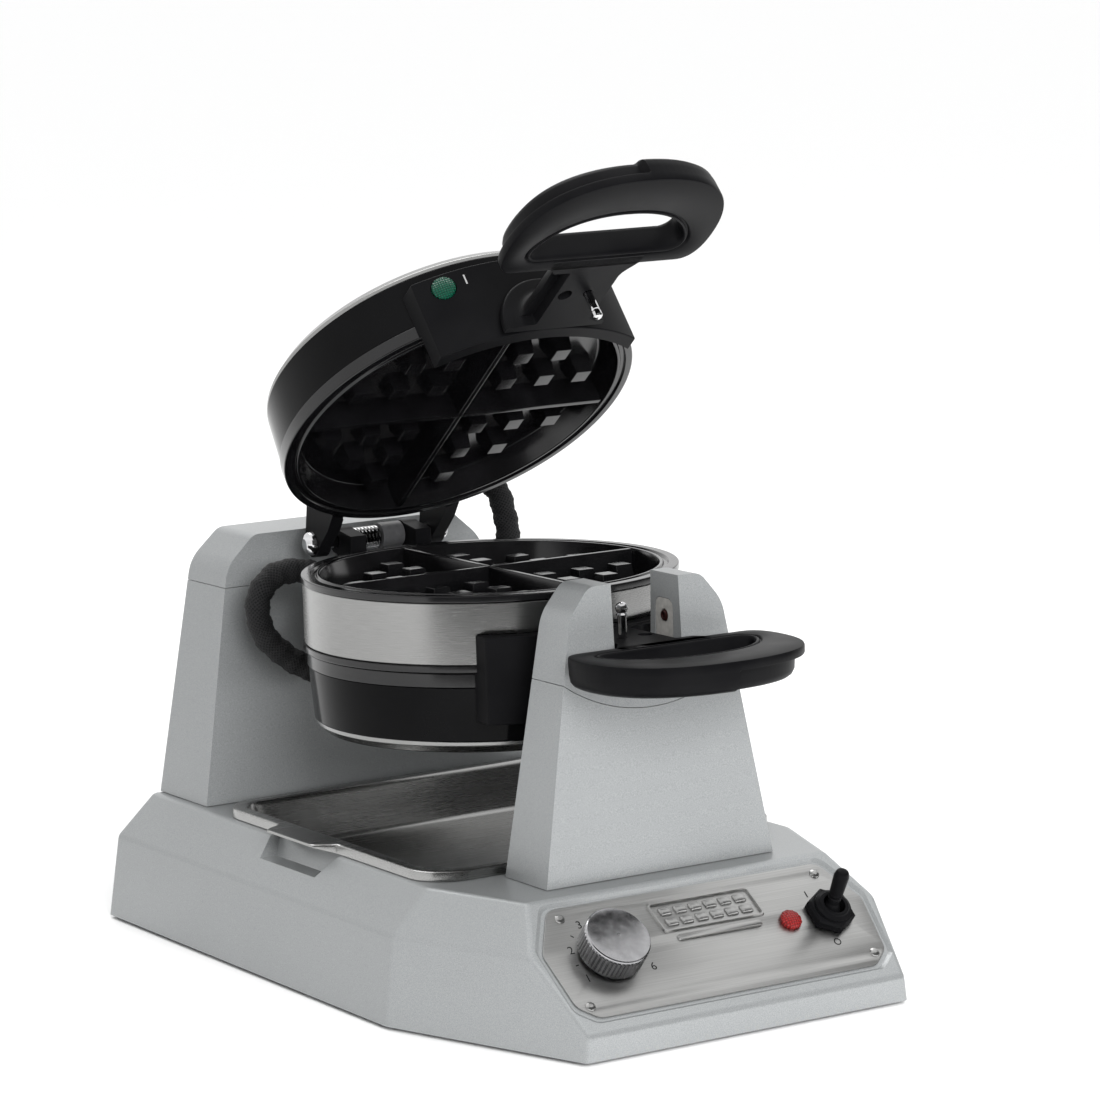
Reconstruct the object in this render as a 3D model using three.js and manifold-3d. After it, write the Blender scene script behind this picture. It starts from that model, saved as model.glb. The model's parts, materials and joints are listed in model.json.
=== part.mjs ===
// A double rotating waffle maker: a die-cast base with two towers that carry a barrel, which turns
// about a lengthwise axis and has a hinged waffle lid on each face. The upper lid stands open.
// Millimetres, +Z up, +Y towards the back. Lengths along Y are measured from the barrel's centre; the
// last step moves the whole so that the origin is on the table under the middle of its overall box.
import * as THREE from "three";
import { ConvexGeometry } from "three/addons/geometries/ConvexGeometry.js";
import { mergeVertices } from "three/addons/utils/BufferGeometryUtils.js";
import Module from "manifold-3d";

const wasm = await Module();
wasm.setup();

// ---------------------------------------------------------------- driving dimensions
const GAP = 0.3; // between touching pieces
const DEG = Math.PI / 180;
const RING_SEGMENTS = 40; // facets of every ring that shares the barrel's centre line

// Base housing, measured from its bottom edge.
const FOOT_STANDOFF = 2;
const BASE_TOP = 68.5;
const BASE_HALF_WIDTH = 139.5;
const BASE_FRONT_HALF_WIDTH = 97.6;
const BASE_FRONT_Y = -239.5;
const BASE_BACK_Y = 205;
const BASE_CORNER_Y = -114.5; // where the front chamfers start
const BASE_WALL = 3.5;
const SIDE_WALL_TOP = 46.5; // the side walls' bevel starts here
const WALL_DRAFT = 5.2; // lean of the side walls up to the bevel
const BEVEL_RUN = 22.3;
const LIP_HEIGHT = 13.4;
const PANEL_TILT = 41.5 * DEG;
const BACK_BEVEL = 8;

// Control panel, in the panel's own plane: across, and up the slope from the lip.
const PANEL_RECESS = 1.5;
const PANEL_THICKNESS = 0.9;
const PANEL_MARGIN = 3;
const PANEL_OUTLINE = [[82.5, 77], [97.5, 51], [94, 18], [84, 9.5]]; // right half, from the top
const PANEL_ROUNDING = 9; // how far back from a corner its rounding starts, where there is room
const RIVET_RADIUS = 2.8;
const RIVET_SHANK = 1.4;
const RIVET_POINTS = [[78, 70.5], [86.5, 17]];
const CONTROL_ROW = 45;
const KNOB_X = -62;
const KNOB_RADIUS = 17.5;
const KNOB_HEIGHT = 14.5;
const KNOB_STANDOFF = 1.6;
const SHAFT_RADIUS = 3;
const THERMOSTAT_SIZE = 32;
const THERMOSTAT_DEPTH = 20;
const LAMP_X = 49;
const LAMP_RADIUS = 5.8;
const LAMP_SHANK = 4.6;
const TOGGLE_X = 73;
const TOGGLE_NUT_RADIUS = 13;
const TOGGLE_NUT_HEIGHT = 8.5;
const TOGGLE_BALL = 5;
const TOGGLE_LENGTH = 26;
const TOGGLE_TILT = 14 * DEG;
const TOGGLE_PIVOT = 3;
const SWITCH_DEPTH = 20;

// Towers.
const AXIS_Z = 189; // height of the barrel's axis above the housing's bottom edge
const TOWER_WALL = 3.5;
const FRONT_TOWER = {
  foot: { half: 69.6, front: -161.6, back: -121.1 },
  shoulder: { half: 46.6, front: -154.5, back: -127.1, z: AXIS_Z + 15 },
  top: { half: 34, front: -153.6, back: -127.8, z: AXIS_Z + 30.5 },
};
const REAR_TOWER = {
  foot: { half: 107.5, front: 138.9, back: 196.1 },
  shoulder: { half: 83, front: 148.8, back: 193.6, z: AXIS_Z + 11.7 },
  top: { half: 64.5, front: 150, back: 193, z: AXIS_Z + 28.5 },
};
const SADDLE_RADIUS = 90; // of the seam between the front tower and its saddle
const SADDLE_DEPTH = 35; // from the barrel's axis down to the seam's lowest point

// Barrel, measured from its axis, along which the lengthwise direction is Y.
const RIM_RADIUS = 102.5;
const RIM_HALF_HEIGHT = 20.3;
const RIM_THICKNESS = 3.6;
const BAND_RADIUS = RIM_RADIUS - 0.8;
const BAND_WALL = 1.2;
const CAVITY_RADIUS = RIM_RADIUS - 10.5;
const CAVITY_DEPTH = 14.5;
const CAVITY_DRAFT = 5;
const PLATE_FLOOR = 3;
const RIB_TOP = 3;
const RIB_FOOT = 8;
const PEG_PITCH = 24;
const PEG_FIRST = 21.5; // from the cross ribs to the first row of pegs
const PEG_TOP = 9.5;
const PEG_FOOT = 13;
const PEG_DROP = 3.8; // the pegs stop this far below the rim
const HEATER_RADIUS = 60;

// Lids, measured from the barrel's axis, for the upper lid when it is shut.
const LID_RIM_RADIUS = RIM_RADIUS - 1.5;
const LID_RIM_HEIGHT = 7.6;
const LID_BAND_TOP = 57.3;
const LID_BAND_TOP_RADIUS = LID_RIM_RADIUS - 3;
const LID_BAND_WALL = 2;
const LID_HEIGHT = 65;
const LID_CAP_RADIUS = LID_BAND_TOP_RADIUS - 6;
const LID_CAP_WALL = 1.2;
const HINGE_RISE = 23.5;
const LID_OPEN = 39 * DEG;
const HINGE_PIN_RADIUS = 4;
const HINGE_HEAD_RADIUS = 6.9;
const HINGE_HEAD_HEIGHT = 4.8;
const ARM_EYE_RADIUS = 8;
const ARM_OUTER = 41;
const ARM_THICKNESS = 8;
const LUG_OUTER = 26;
const LUG_THICKNESS = 10;

// Front block, neck and handle of a lid.
const BLOCK_RADIUS = RIM_RADIUS + 8.5;
const BLOCK_HALF_WIDTH = 60;
const BLOCK_BACK_Y = -60; // inside the lid, where the block's blank ends
const BLOCK_HEIGHT = 46.5;
const BLOCK_LAMP_X = -46.6;
const BLOCK_LAMP_Z = 38;
const BLOCK_LAMP_RADIUS = 6.6;
const NECK_RADIUS = 19.3;
const NECK_CLEARANCE = 1.2; // the neck's running clearance in the saddle
const COLLAR_RADIUS = 30;
const COLLAR_THICKNESS = 4;
const HANDLE_BACK_Y = -166;
const HANDLE_FRONT_Y = -240;
const HANDLE_HALF_WIDTH = 62;
const HANDLE_THICKNESS = 16.6;
const GRIP_HALF_WIDTH = 47;
const GRIP_BACK_Y = -176.5;
const GRIP_FRONT_Y = -210;
const LOCK_PIN_X = 7;
const LOCK_PIN_Y = -142;
const LOCK_PIN_RADIUS = 2.4;
const LOCK_PIN_HOLE = 4;
const LOCK_PINS = { // the lower one has a ball for a head
  upper: { head: 2.6, length: 16 },
  lower: { head: 3.3, length: 18.5 },
};

// Rear journal and bearing.
const JOURNAL_RADIUS = 13;
const JOURNAL_BORE = 8;
const JOURNAL_END_Y = 178;
const BEARING_RADIUS = JOURNAL_RADIUS + 4;
const BEARING_BACK_Y = 160;
const YOKE_BACK_Y = RIM_RADIUS + 10.5;
const HINGE_Y = YOKE_BACK_Y + 12;
const YOKE_HALF_WIDTH = 30;
const YOKE_HALF_HEIGHT = 17;

// Conduits to the lids.
const CONDUIT_RADIUS = 7.5;

// Drip tray.
const TRAY_HALF_WIDTH = 110;
const TRAY_FRONT_Y = -115;
const TRAY_BACK_Y = 121;
const TRAY_CORNER = 24;
const TRAY_TOP = 74;
const TRAY_DEPTH = 28;
const TRAY_FLANGE = 9;
const TRAY_SLOPE = 9;
const TRAY_SHEET = 1.2;
const TAB_REACH = 12;
const TAB_FRONT_Y = -14;
const TAB_BACK_Y = 47;
const TRAY_WELL_CLEARANCE = 2;
const SCOOP_DEPTH = 11;

// ---------------------------------------------------------------- solids
function toSolid(geometry) {
  const plain = geometry.clone();
  plain.deleteAttribute("normal");
  plain.deleteAttribute("uv");
  const merged = mergeVertices(plain, 1e-4);
  return new wasm.Manifold(new wasm.Mesh({
    numProp: 3,
    vertProperties: new Float32Array(merged.attributes.position.array),
    triVerts: new Uint32Array(merged.index.array),
  }));
}

function toGeometry(solid) {
  const mesh = solid.getMesh();
  const geometry = new THREE.BufferGeometry();
  geometry.setAttribute("position", new THREE.BufferAttribute(mesh.vertProperties, 3));
  geometry.setIndex(new THREE.BufferAttribute(mesh.triVerts, 1));
  return geometry;
}

function box(x0, x1, y0, y1, z0, z1) {
  const geometry = new THREE.BoxGeometry(x1 - x0, y1 - y0, z1 - z0);
  return toSolid(geometry.translate((x0 + x1) / 2, (y0 + y1) / 2, (z0 + z1) / 2));
}

function hull(points) {
  return toSolid(new ConvexGeometry(points.map((p) => new THREE.Vector3(...p))));
}

// Round bars along each axis. The first number is the radius.
function barZ(radius, z0, z1, segments = 24) {
  const geometry = new THREE.CylinderGeometry(radius, radius, z1 - z0, segments);
  return toSolid(geometry.rotateX(Math.PI / 2).translate(0, 0, (z0 + z1) / 2));
}

function barY(radius, y0, y1, segments = 24) {
  const geometry = new THREE.CylinderGeometry(radius, radius, y1 - y0, segments);
  return toSolid(geometry.translate(0, (y0 + y1) / 2, 0));
}

function barX(radius, x0, x1, segments = 16) {
  const geometry = new THREE.CylinderGeometry(radius, radius, x1 - x0, segments);
  return toSolid(geometry.rotateZ(Math.PI / 2).translate((x0 + x1) / 2, 0, 0));
}

// A profile of [radius, height] points turned about Z. It starts and ends on the axis, or closes.
function turned(profile, segments = RING_SEGMENTS) {
  const onAxis = profile[0][0] === 0 && profile.at(-1)[0] === 0;
  const points = onAxis ? [...profile] : [...profile, profile[0]];
  let area = 0;
  points.forEach(([r, z], i) => {
    const [nextR, nextZ] = points[(i + 1) % points.length];
    area += r * nextZ - nextR * z;
  });
  if (area < 0) points.reverse();
  const geometry = new THREE.LatheGeometry(points.map(([r, z]) => new THREE.Vector2(r, z)), segments);
  return toSolid(geometry.rotateX(Math.PI / 2));
}

function slab(shape, z0, z1, curveSegments = 8) {
  const geometry = new THREE.ExtrudeGeometry(shape, { depth: z1 - z0, bevelEnabled: false, curveSegments });
  return toSolid(geometry.translate(0, 0, z0));
}

function joined(solids) {
  return solids.reduce((whole, solid) => whole.add(solid));
}

function cut(solid, tools) {
  return tools.reduce((rest, tool) => rest.subtract(tool), solid);
}

// A rounded rectangle as a shape.
function roundedRect(x0, x1, y0, y1, radius) {
  const shape = new THREE.Shape();
  shape.moveTo(x0 + radius, y0);
  shape.lineTo(x1 - radius, y0);
  shape.absarc(x1 - radius, y0 + radius, radius, -Math.PI / 2, 0);
  shape.lineTo(x1, y1 - radius);
  shape.absarc(x1 - radius, y1 - radius, radius, 0, Math.PI / 2);
  shape.lineTo(x0 + radius, y1);
  shape.absarc(x0 + radius, y1 - radius, radius, Math.PI / 2, Math.PI);
  shape.lineTo(x0, y0 + radius);
  shape.absarc(x0 + radius, y0 + radius, radius, Math.PI, Math.PI * 1.5);
  return shape;
}

// ---------------------------------------------------------------- materials
const FINISHES = {
  casting: [0xa9adaf, 0.45, 0.55],
  steel: [0xb4b5b4, 0.32, 1],
  chrome: [0xd8d9da, 0.08, 1],
  gloss_black: [0x0b0b0c, 0.12, 0],
  matte_black: [0x1a1a1b, 0.55, 0],
  plate_black: [0x101011, 0.35, 0.2],
  rubber: [0x141414, 0.85, 0],
  red_lens: [0xb01018, 0.15, 0],
  green_lens: [0x0b6b46, 0.2, 0],
  sleeve: [0x121212, 0.9, 0],
  ceramic: [0xd9d4c6, 0.6, 0],
  zinc: [0x9a9c9e, 0.4, 0.9],
};

function piece(name, solid, finish) {
  const [color, roughness, metalness] = FINISHES[finish];
  const material = new THREE.MeshStandardMaterial({ color, roughness, metalness });
  const mesh = new THREE.Mesh(toGeometry(solid), material);
  mesh.name = name;
  return mesh;
}

function grouped(children, position = [0, 0, 0]) {
  const group = new THREE.Group();
  group.add(...children);
  group.position.set(...position);
  return group;
}

// ---------------------------------------------------------------- base housing
// The corners of the housing's outer skin, moved in by the given inset.
function baseCorners(inset) {
  const top = BASE_TOP - inset;
  const slope = Math.tan(PANEL_TILT);
  const chamferRun = (BASE_HALF_WIDTH - BASE_FRONT_HALF_WIDTH) / (BASE_CORNER_Y - BASE_FRONT_Y);
  const slopeInset = inset / Math.sin(PANEL_TILT);
  const panelY = (z) => BASE_FRONT_Y + slopeInset + (z - LIP_HEIGHT) / slope;
  const halfWidthAt = (y, lean) => Math.min(
    BASE_HALF_WIDTH - lean,
    BASE_FRONT_HALF_WIDTH - lean + (y - BASE_FRONT_Y) * chamferRun,
  ) - inset;
  const lipZ = LIP_HEIGHT - inset * (1 - Math.cos(PANEL_TILT)) / Math.sin(PANEL_TILT);
  const points = [];
  const pair = (half, y, z) => points.push([half, y, z], [-half, y, z]);
  const ring = (z, lean, frontY, backY) => {
    pair(halfWidthAt(frontY, lean), frontY, z);
    pair(halfWidthAt(BASE_CORNER_Y, lean), BASE_CORNER_Y, z);
    pair(BASE_HALF_WIDTH - lean - inset, backY, z);
  };
  const lipLean = WALL_DRAFT * LIP_HEIGHT / SIDE_WALL_TOP;
  ring(0, 0, BASE_FRONT_Y + inset, BASE_BACK_Y - inset);
  pair(halfWidthAt(BASE_FRONT_Y + inset, lipLean), BASE_FRONT_Y + inset, lipZ);
  ring(SIDE_WALL_TOP, WALL_DRAFT, panelY(SIDE_WALL_TOP), BASE_BACK_Y - WALL_DRAFT - inset);
  ring(top, WALL_DRAFT + BEVEL_RUN, panelY(top), BASE_BACK_Y - BACK_BEVEL - inset);
  return points;
}

// Moves a solid made in the panel's plane to the panel: X across, Y up the slope, Z out of it.
function onPanel(solid) {
  return solid.rotate([PANEL_TILT / DEG, 0, 0]).translate([0, BASE_FRONT_Y, LIP_HEIGHT]);
}

function panelShape(margin) {
  const right = PANEL_OUTLINE;
  const left = right.map(([x, y]) => [-x, y]).reverse();
  const corners = [...right, ...left];
  const middle = (right[0][1] + right.at(-1)[1]) / 2;
  const grown = corners.map(([x, y]) => [x + Math.sign(x) * margin, y + Math.sign(y - middle) * margin]);
  const shape = new THREE.Shape();
  const towards = (here, there) => {
    const step = new THREE.Vector2(...there).sub(here);
    return step.setLength(Math.min(PANEL_ROUNDING, step.length() * 0.45)).add(here);
  };
  grown.forEach((corner, i) => {
    const here = new THREE.Vector2(...corner);
    const before = towards(here, grown.at(i - 1));
    const after = towards(here, grown[(i + 1) % grown.length]);
    if (i === 0) shape.moveTo(before.x, before.y);
    else shape.lineTo(before.x, before.y);
    shape.quadraticCurveTo(here.x, here.y, after.x, after.y);
  });
  return shape;
}

function rivetPoints() {
  return RIVET_POINTS.flatMap(([x, y]) => [[x, y], [-x, y]]);
}

// The holes through the panel and the housing behind it.
function panelHoles(extra) {
  const holes = rivetPoints().map(([x, y]) => barZ(RIVET_SHANK + GAP, -12, 4, 10).translate([x, y, 0]));
  holes.push(barZ(SHAFT_RADIUS + 1 + extra, -12, 4, 16).translate([KNOB_X, CONTROL_ROW, 0]));
  holes.push(barZ(LAMP_SHANK + GAP + extra, -12, 4, 16).translate([LAMP_X, CONTROL_ROW, 0]));
  holes.push(barZ(TOGGLE_BALL + 1 + extra, -12, 4, 16).translate([TOGGLE_X, CONTROL_ROW, 0]));
  return holes;
}

const TRAY_WELL = {
  x: TRAY_HALF_WIDTH - TRAY_FLANGE + TRAY_WELL_CLEARANCE,
  front: TRAY_FRONT_Y + TRAY_FLANGE - TRAY_WELL_CLEARANCE,
  back: TRAY_BACK_Y - TRAY_FLANGE + TRAY_WELL_CLEARANCE,
};

const GLAND = { x: -70, z: 24, radius: 8.5, bore: 4, wall: BASE_WALL };

function baseHousing() {
  const outer = hull(baseCorners(0));
  const inner = hull(baseCorners(BASE_WALL)).translate([0, 0, -0.01]).add(
    hull(baseCorners(BASE_WALL).map(([x, y, z]) => [x, y, Math.min(z, 0.02) - 1])),
  );
  const tabY = [TAB_FRONT_Y - 6, TAB_BACK_Y + 6];
  const tabX = -(TRAY_HALF_WIDTH + TAB_REACH);
  const scoopFloor = BASE_TOP - SCOOP_DEPTH;
  const scoopLining = box(-BASE_HALF_WIDTH, TRAY_WELL.x * -1, tabY[0] - BASE_WALL, tabY[1] + BASE_WALL,
    scoopFloor - BASE_WALL, BASE_TOP).intersect(outer);
  const scoop = hull([
    [tabX - 30, tabY[0] - 2, BASE_TOP + 2], [tabX - 30, tabY[1] + 2, BASE_TOP + 2],
    [tabX + 17, tabY[0] - 2, BASE_TOP + 2], [tabX + 17, tabY[1] + 2, BASE_TOP + 2],
    [tabX - 30, tabY[0] + 6, scoopFloor], [tabX - 30, tabY[1] - 6, scoopFloor],
    [tabX + 9, tabY[0] + 6, scoopFloor], [tabX + 9, tabY[1] - 6, scoopFloor],
  ]);
  const well = slab(
    roundedRect(-TRAY_WELL.x, TRAY_WELL.x, TRAY_WELL.front, TRAY_WELL.back, TRAY_CORNER - TRAY_FLANGE + 4),
    BASE_TOP - 30, BASE_TOP + 5, 4);
  const recess = onPanel(slab(panelShape(PANEL_MARGIN), -PANEL_RECESS, 5, 3));
  const wireWay = (tower) => {
    const middle = (tower.foot.front + tower.foot.back) / 2;
    return box(-16, 16, middle - 8, middle + 8, BASE_TOP - 10, BASE_TOP + 5);
  };
  const glandHole = barY(GLAND.radius + GAP, BASE_BACK_Y - 20, BASE_BACK_Y + 5, 16)
    .translate([GLAND.x, 0, GLAND.z]);
  return cut(outer.subtract(inner).add(scoopLining), [
    scoop, well, recess, wireWay(FRONT_TOWER), wireWay(REAR_TOWER), glandHole,
    ...panelHoles(0.6).map(onPanel),
  ]);
}

function bottomPlate() {
  const inset = BASE_WALL + GAP;
  const half = BASE_HALF_WIDTH - inset;
  const frontHalf = BASE_FRONT_HALF_WIDTH - inset;
  const shape = new THREE.Shape([
    [frontHalf, BASE_FRONT_Y + inset], [half, BASE_CORNER_Y + 1], [half, BASE_BACK_Y - inset],
    [-half, BASE_BACK_Y - inset], [-half, BASE_CORNER_Y + 1], [-frontHalf, BASE_FRONT_Y + inset],
  ].map(([x, y]) => new THREE.Vector2(x, y)));
  return slab(shape, 1, 2.5).intersect(hull(baseCorners(inset)));
}

const FOOT_RADIUS = 11;
const FOOT_HEIGHT = 1 - GAP + FOOT_STANDOFF;

function foot() {
  return turned([
    [0, -FOOT_STANDOFF], [FOOT_RADIUS - 1, -FOOT_STANDOFF], [FOOT_RADIUS, 1 - FOOT_STANDOFF],
    [FOOT_RADIUS, FOOT_HEIGHT - FOOT_STANDOFF], [0, FOOT_HEIGHT - FOOT_STANDOFF],
  ], 20);
}

function feet() {
  const places = {
    front_left: [-72, BASE_FRONT_Y + 30], front_right: [72, BASE_FRONT_Y + 30],
    rear_left: [-BASE_HALF_WIDTH + 28, BASE_BACK_Y - 28],
    rear_right: [BASE_HALF_WIDTH - 28, BASE_BACK_Y - 28],
  };
  return Object.entries(places).map(([place, [x, y]]) => (
    piece(`rubber_foot_${place}`, foot().translate([x, y, 0]), "rubber")
  ));
}

function cableGland() {
  const length = 16;
  const body = turned([
    [GLAND.bore, 0], [GLAND.radius, 0], [GLAND.radius, GLAND.wall + 3], [GLAND.radius + 2.5, GLAND.wall + 3],
    [GLAND.radius + 2.5, GLAND.wall + 6], [GLAND.radius - 1.5, length], [GLAND.bore, length],
  ], 16);
  const backAtGland = BASE_BACK_Y - WALL_DRAFT * GLAND.z / SIDE_WALL_TOP;
  return body.rotate([-90, 0, 0]).translate([GLAND.x, backAtGland - GLAND.wall - 1.5, GLAND.z]);
}

function terminalBlock() {
  const half = 20;
  const y = BASE_BACK_Y - 45;
  const block = box(-half, half, y - 10, y + 10, 2.5 + GAP, 20);
  const screws = [-12, 0, 12].map((x) => barZ(3, 12, 25, 8).translate([x, y, 0]));
  return cut(block, screws);
}

// ---------------------------------------------------------------- control panel
function controlPlate() {
  const plate = slab(panelShape(0), GAP - PANEL_RECESS, GAP - PANEL_RECESS + PANEL_THICKNESS, 3);
  return onPanel(cut(plate, panelHoles(0)));
}

const PLATE_FACE = GAP - PANEL_RECESS + PANEL_THICKNESS;

function rivets() {
  const names = ["upper_right", "upper_left", "lower_right", "lower_left"];
  return rivetPoints().map(([x, y], i) => {
    const solid = turned([
      [0, -7], [RIVET_SHANK, -7], [RIVET_SHANK, PLATE_FACE + GAP], [RIVET_RADIUS, PLATE_FACE + GAP],
      [RIVET_RADIUS * 0.8, PLATE_FACE + 1.2], [0, PLATE_FACE + 1.8],
    ], 12);
    return piece(`plate_rivet_${names[i]}`, onPanel(solid.translate([x, y, 0])), "steel");
  });
}

const BODY_TOP = -BASE_WALL - GAP;

function thermostatBody() {
  const half = THERMOSTAT_SIZE / 2;
  const body = box(-half, half, -half, half, BODY_TOP - THERMOSTAT_DEPTH, BODY_TOP);
  const bore = barZ(SHAFT_RADIUS + GAP, BODY_TOP - 12, BODY_TOP + 2, 12);
  return onPanel(body.subtract(bore).translate([KNOB_X, CONTROL_ROW, 0]));
}

function thermostatKnob() {
  const foot0 = PLATE_FACE + KNOB_STANDOFF;
  const top = foot0 + KNOB_HEIGHT;
  const body = turned([
    [0, foot0], [KNOB_RADIUS, foot0], [KNOB_RADIUS, top - 2], [KNOB_RADIUS - 1.5, top], [0, top],
  ], 36);
  const bore = barZ(SHAFT_RADIUS + GAP, foot0 - 2, top - 4, 12);
  return onPanel(body.subtract(bore).translate([KNOB_X, CONTROL_ROW, 0]));
}

function thermostatShaft() {
  const top = PLATE_FACE + KNOB_STANDOFF + KNOB_HEIGHT - 4 - GAP;
  return onPanel(barZ(SHAFT_RADIUS, BODY_TOP - 11, top, 12).translate([KNOB_X, CONTROL_ROW, 0]));
}

function powerLamp() {
  const seat = PLATE_FACE + GAP;
  const solid = turned([
    [0, -16], [LAMP_SHANK, -16], [LAMP_SHANK, seat], [LAMP_RADIUS, seat], [LAMP_RADIUS, seat + 1.6],
    [LAMP_RADIUS * 0.75, seat + 3.2], [0, seat + 3.9],
  ], 20);
  return onPanel(solid.translate([LAMP_X, CONTROL_ROW, 0]));
}

function toggleNut() {
  const seat = PLATE_FACE + GAP;
  const body = turned([
    [TOGGLE_BALL + 1, seat], [TOGGLE_NUT_RADIUS, seat], [TOGGLE_NUT_RADIUS, seat + 4.5],
    [TOGGLE_NUT_RADIUS - 3.5, seat + TOGGLE_NUT_HEIGHT], [TOGGLE_BALL + 1, seat + TOGGLE_NUT_HEIGHT],
  ], 16);
  return onPanel(body.translate([TOGGLE_X, CONTROL_ROW, 0]));
}

function toggleBody() {
  const body = box(-8, 8, -13, 13, BODY_TOP - SWITCH_DEPTH, BODY_TOP);
  return onPanel(body.translate([TOGGLE_X, CONTROL_ROW, 0]));
}

function toggleLever() {
  const solid = turned([
    [0, -TOGGLE_BALL], [TOGGLE_BALL * 0.7, -TOGGLE_BALL * 0.7], [TOGGLE_BALL, 0],
    [TOGGLE_BALL * 0.7, TOGGLE_BALL * 0.7], [3.2, TOGGLE_BALL], [4, TOGGLE_LENGTH - 3],
    [3, TOGGLE_LENGTH - 0.7], [0, TOGGLE_LENGTH],
  ], 14);
  const tilted = solid.rotate([-TOGGLE_TILT / DEG, 0, 0]);
  return onPanel(tilted.translate([TOGGLE_X, CONTROL_ROW, TOGGLE_PIVOT]));
}

// ---------------------------------------------------------------- towers
// A tower's outer or inner skin: a tapered block with chamfered shoulders.
function towerHull(tower, inset, z0) {
  const points = [];
  const level = ({ half, front, back }, z) => {
    [half - inset, inset - half].forEach((x) => points.push([x, front + inset, z], [x, back - inset, z]));
  };
  level(tower.foot, z0);
  level(tower.shoulder, tower.shoulder.z - inset * 0.5);
  level(tower.top, tower.top.z - inset);
  return hull(points);
}

const WIDE = 400; // reach of the cutting blocks that split pieces

function below(z) {
  return box(-WIDE, WIDE, -WIDE, WIDE, -WIDE, z);
}

function saddleRound(radius) {
  return barY(radius, FRONT_TOWER.foot.front - 10, FRONT_TOWER.foot.back + 10, 64)
    .translate([0, 0, AXIS_Z - SADDLE_DEPTH + SADDLE_RADIUS]);
}

function frontTower() {
  const outer = towerHull(FRONT_TOWER, 0, BASE_TOP + GAP);
  const inner = towerHull(FRONT_TOWER, TOWER_WALL, BASE_TOP - 1)
    .intersect(below(AXIS_Z - SADDLE_DEPTH - TOWER_WALL));
  const seam = saddleRound(SADDLE_RADIUS).add(
    box(-WIDE, WIDE, -WIDE, WIDE, AXIS_Z - SADDLE_DEPTH + SADDLE_RADIUS / 2, WIDE));
  return outer.subtract(inner).subtract(seam);
}

const SLOT_HALF = NECK_RADIUS + NECK_CLEARANCE;

function neckSlot() {
  const y0 = FRONT_TOWER.foot.front - 10;
  const y1 = FRONT_TOWER.foot.back + 10;
  return barY(SLOT_HALF, y0, y1, 32).translate([0, 0, AXIS_Z])
    .add(box(-SLOT_HALF, SLOT_HALF, y0, y1, AXIS_Z, WIDE));
}

const LINER = {
  half: 8, low: AXIS_Z - 3, high: AXIS_Z + 17, corner: 5, thickness: 1.6, screwZ: AXIS_Z + 8,
  y: (FRONT_TOWER.shoulder.front + FRONT_TOWER.shoulder.back) / 2 + 1.3,
};

// The liner plate that is let into the inner face of an ear, on the side given by its sign. It is
// square at the foot and rounded at the top.
function slotLiner(side, grow) {
  const half = LINER.half + grow;
  const outline = roundedRect(LINER.y - half, LINER.y + half, LINER.low - 10, LINER.high + grow,
    LINER.corner + grow);
  const plate = slab(outline, SLOT_HALF - grow, SLOT_HALF + LINER.thickness + grow, 4)
    .rotate([90, 0, 90])
    .subtract(below(LINER.low - grow));
  return side > 0 ? plate : plate.mirror([1, 0, 0]);
}

function linerScrew(side, grow) {
  const x = SLOT_HALF + 0.2;
  const bar = barX(3 + grow, x, x + 9 + grow, 12).translate([0, LINER.y, LINER.screwZ]);
  return side > 0 ? bar : bar.mirror([1, 0, 0]);
}

function frontSaddle() {
  const outer = towerHull(FRONT_TOWER, 0, BASE_TOP + GAP).intersect(
    saddleRound(SADDLE_RADIUS - GAP).add(
      box(-WIDE, WIDE, -WIDE, WIDE, AXIS_Z - SADDLE_DEPTH + SADDLE_RADIUS / 2, WIDE)));
  return cut(outer, [
    neckSlot(), slotLiner(1, GAP), slotLiner(-1, GAP), linerScrew(1, GAP), linerScrew(-1, GAP),
  ]);
}

const bearingHole = () => barY(BEARING_RADIUS + GAP, REAR_TOWER.foot.front - 20, BEARING_BACK_Y + 6, 32)
  .translate([0, 0, AXIS_Z]);

function rearTower() {
  const outer = towerHull(REAR_TOWER, 0, BASE_TOP + GAP).intersect(below(AXIS_Z));
  return cut(outer, [towerHull(REAR_TOWER, TOWER_WALL, BASE_TOP - 1), bearingHole()]);
}

function rearTowerCap() {
  const outer = cut(towerHull(REAR_TOWER, 0, BASE_TOP + GAP), [below(AXIS_Z + GAP)]);
  return cut(outer, [towerHull(REAR_TOWER, TOWER_WALL, BASE_TOP - 1), bearingHole()]);
}

function rearBearing() {
  const front = REAR_TOWER.shoulder.front - 8;
  return barY(BEARING_RADIUS, front, BEARING_BACK_Y, 32)
    .subtract(barY(JOURNAL_RADIUS + GAP, front - 5, BEARING_BACK_Y + 5, 32))
    .translate([0, 0, AXIS_Z]);
}

// ---------------------------------------------------------------- drip tray
function trayShape(inset) {
  return roundedRect(-TRAY_HALF_WIDTH + inset, TRAY_HALF_WIDTH - inset, TRAY_FRONT_Y + inset,
    TRAY_BACK_Y - inset, Math.max(TRAY_CORNER - inset, 6));
}

// The tapered body of the tray between two depths, as a hull of its rounded outlines.
function trayBody(inset, top, floor, slope) {
  const upper = trayShape(TRAY_FLANGE + inset).getPoints(3);
  const lower = trayShape(TRAY_FLANGE + inset + slope).getPoints(3);
  return hull([...upper.map((p) => [p.x, p.y, top]), ...lower.map((p) => [p.x, p.y, floor])]);
}

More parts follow.
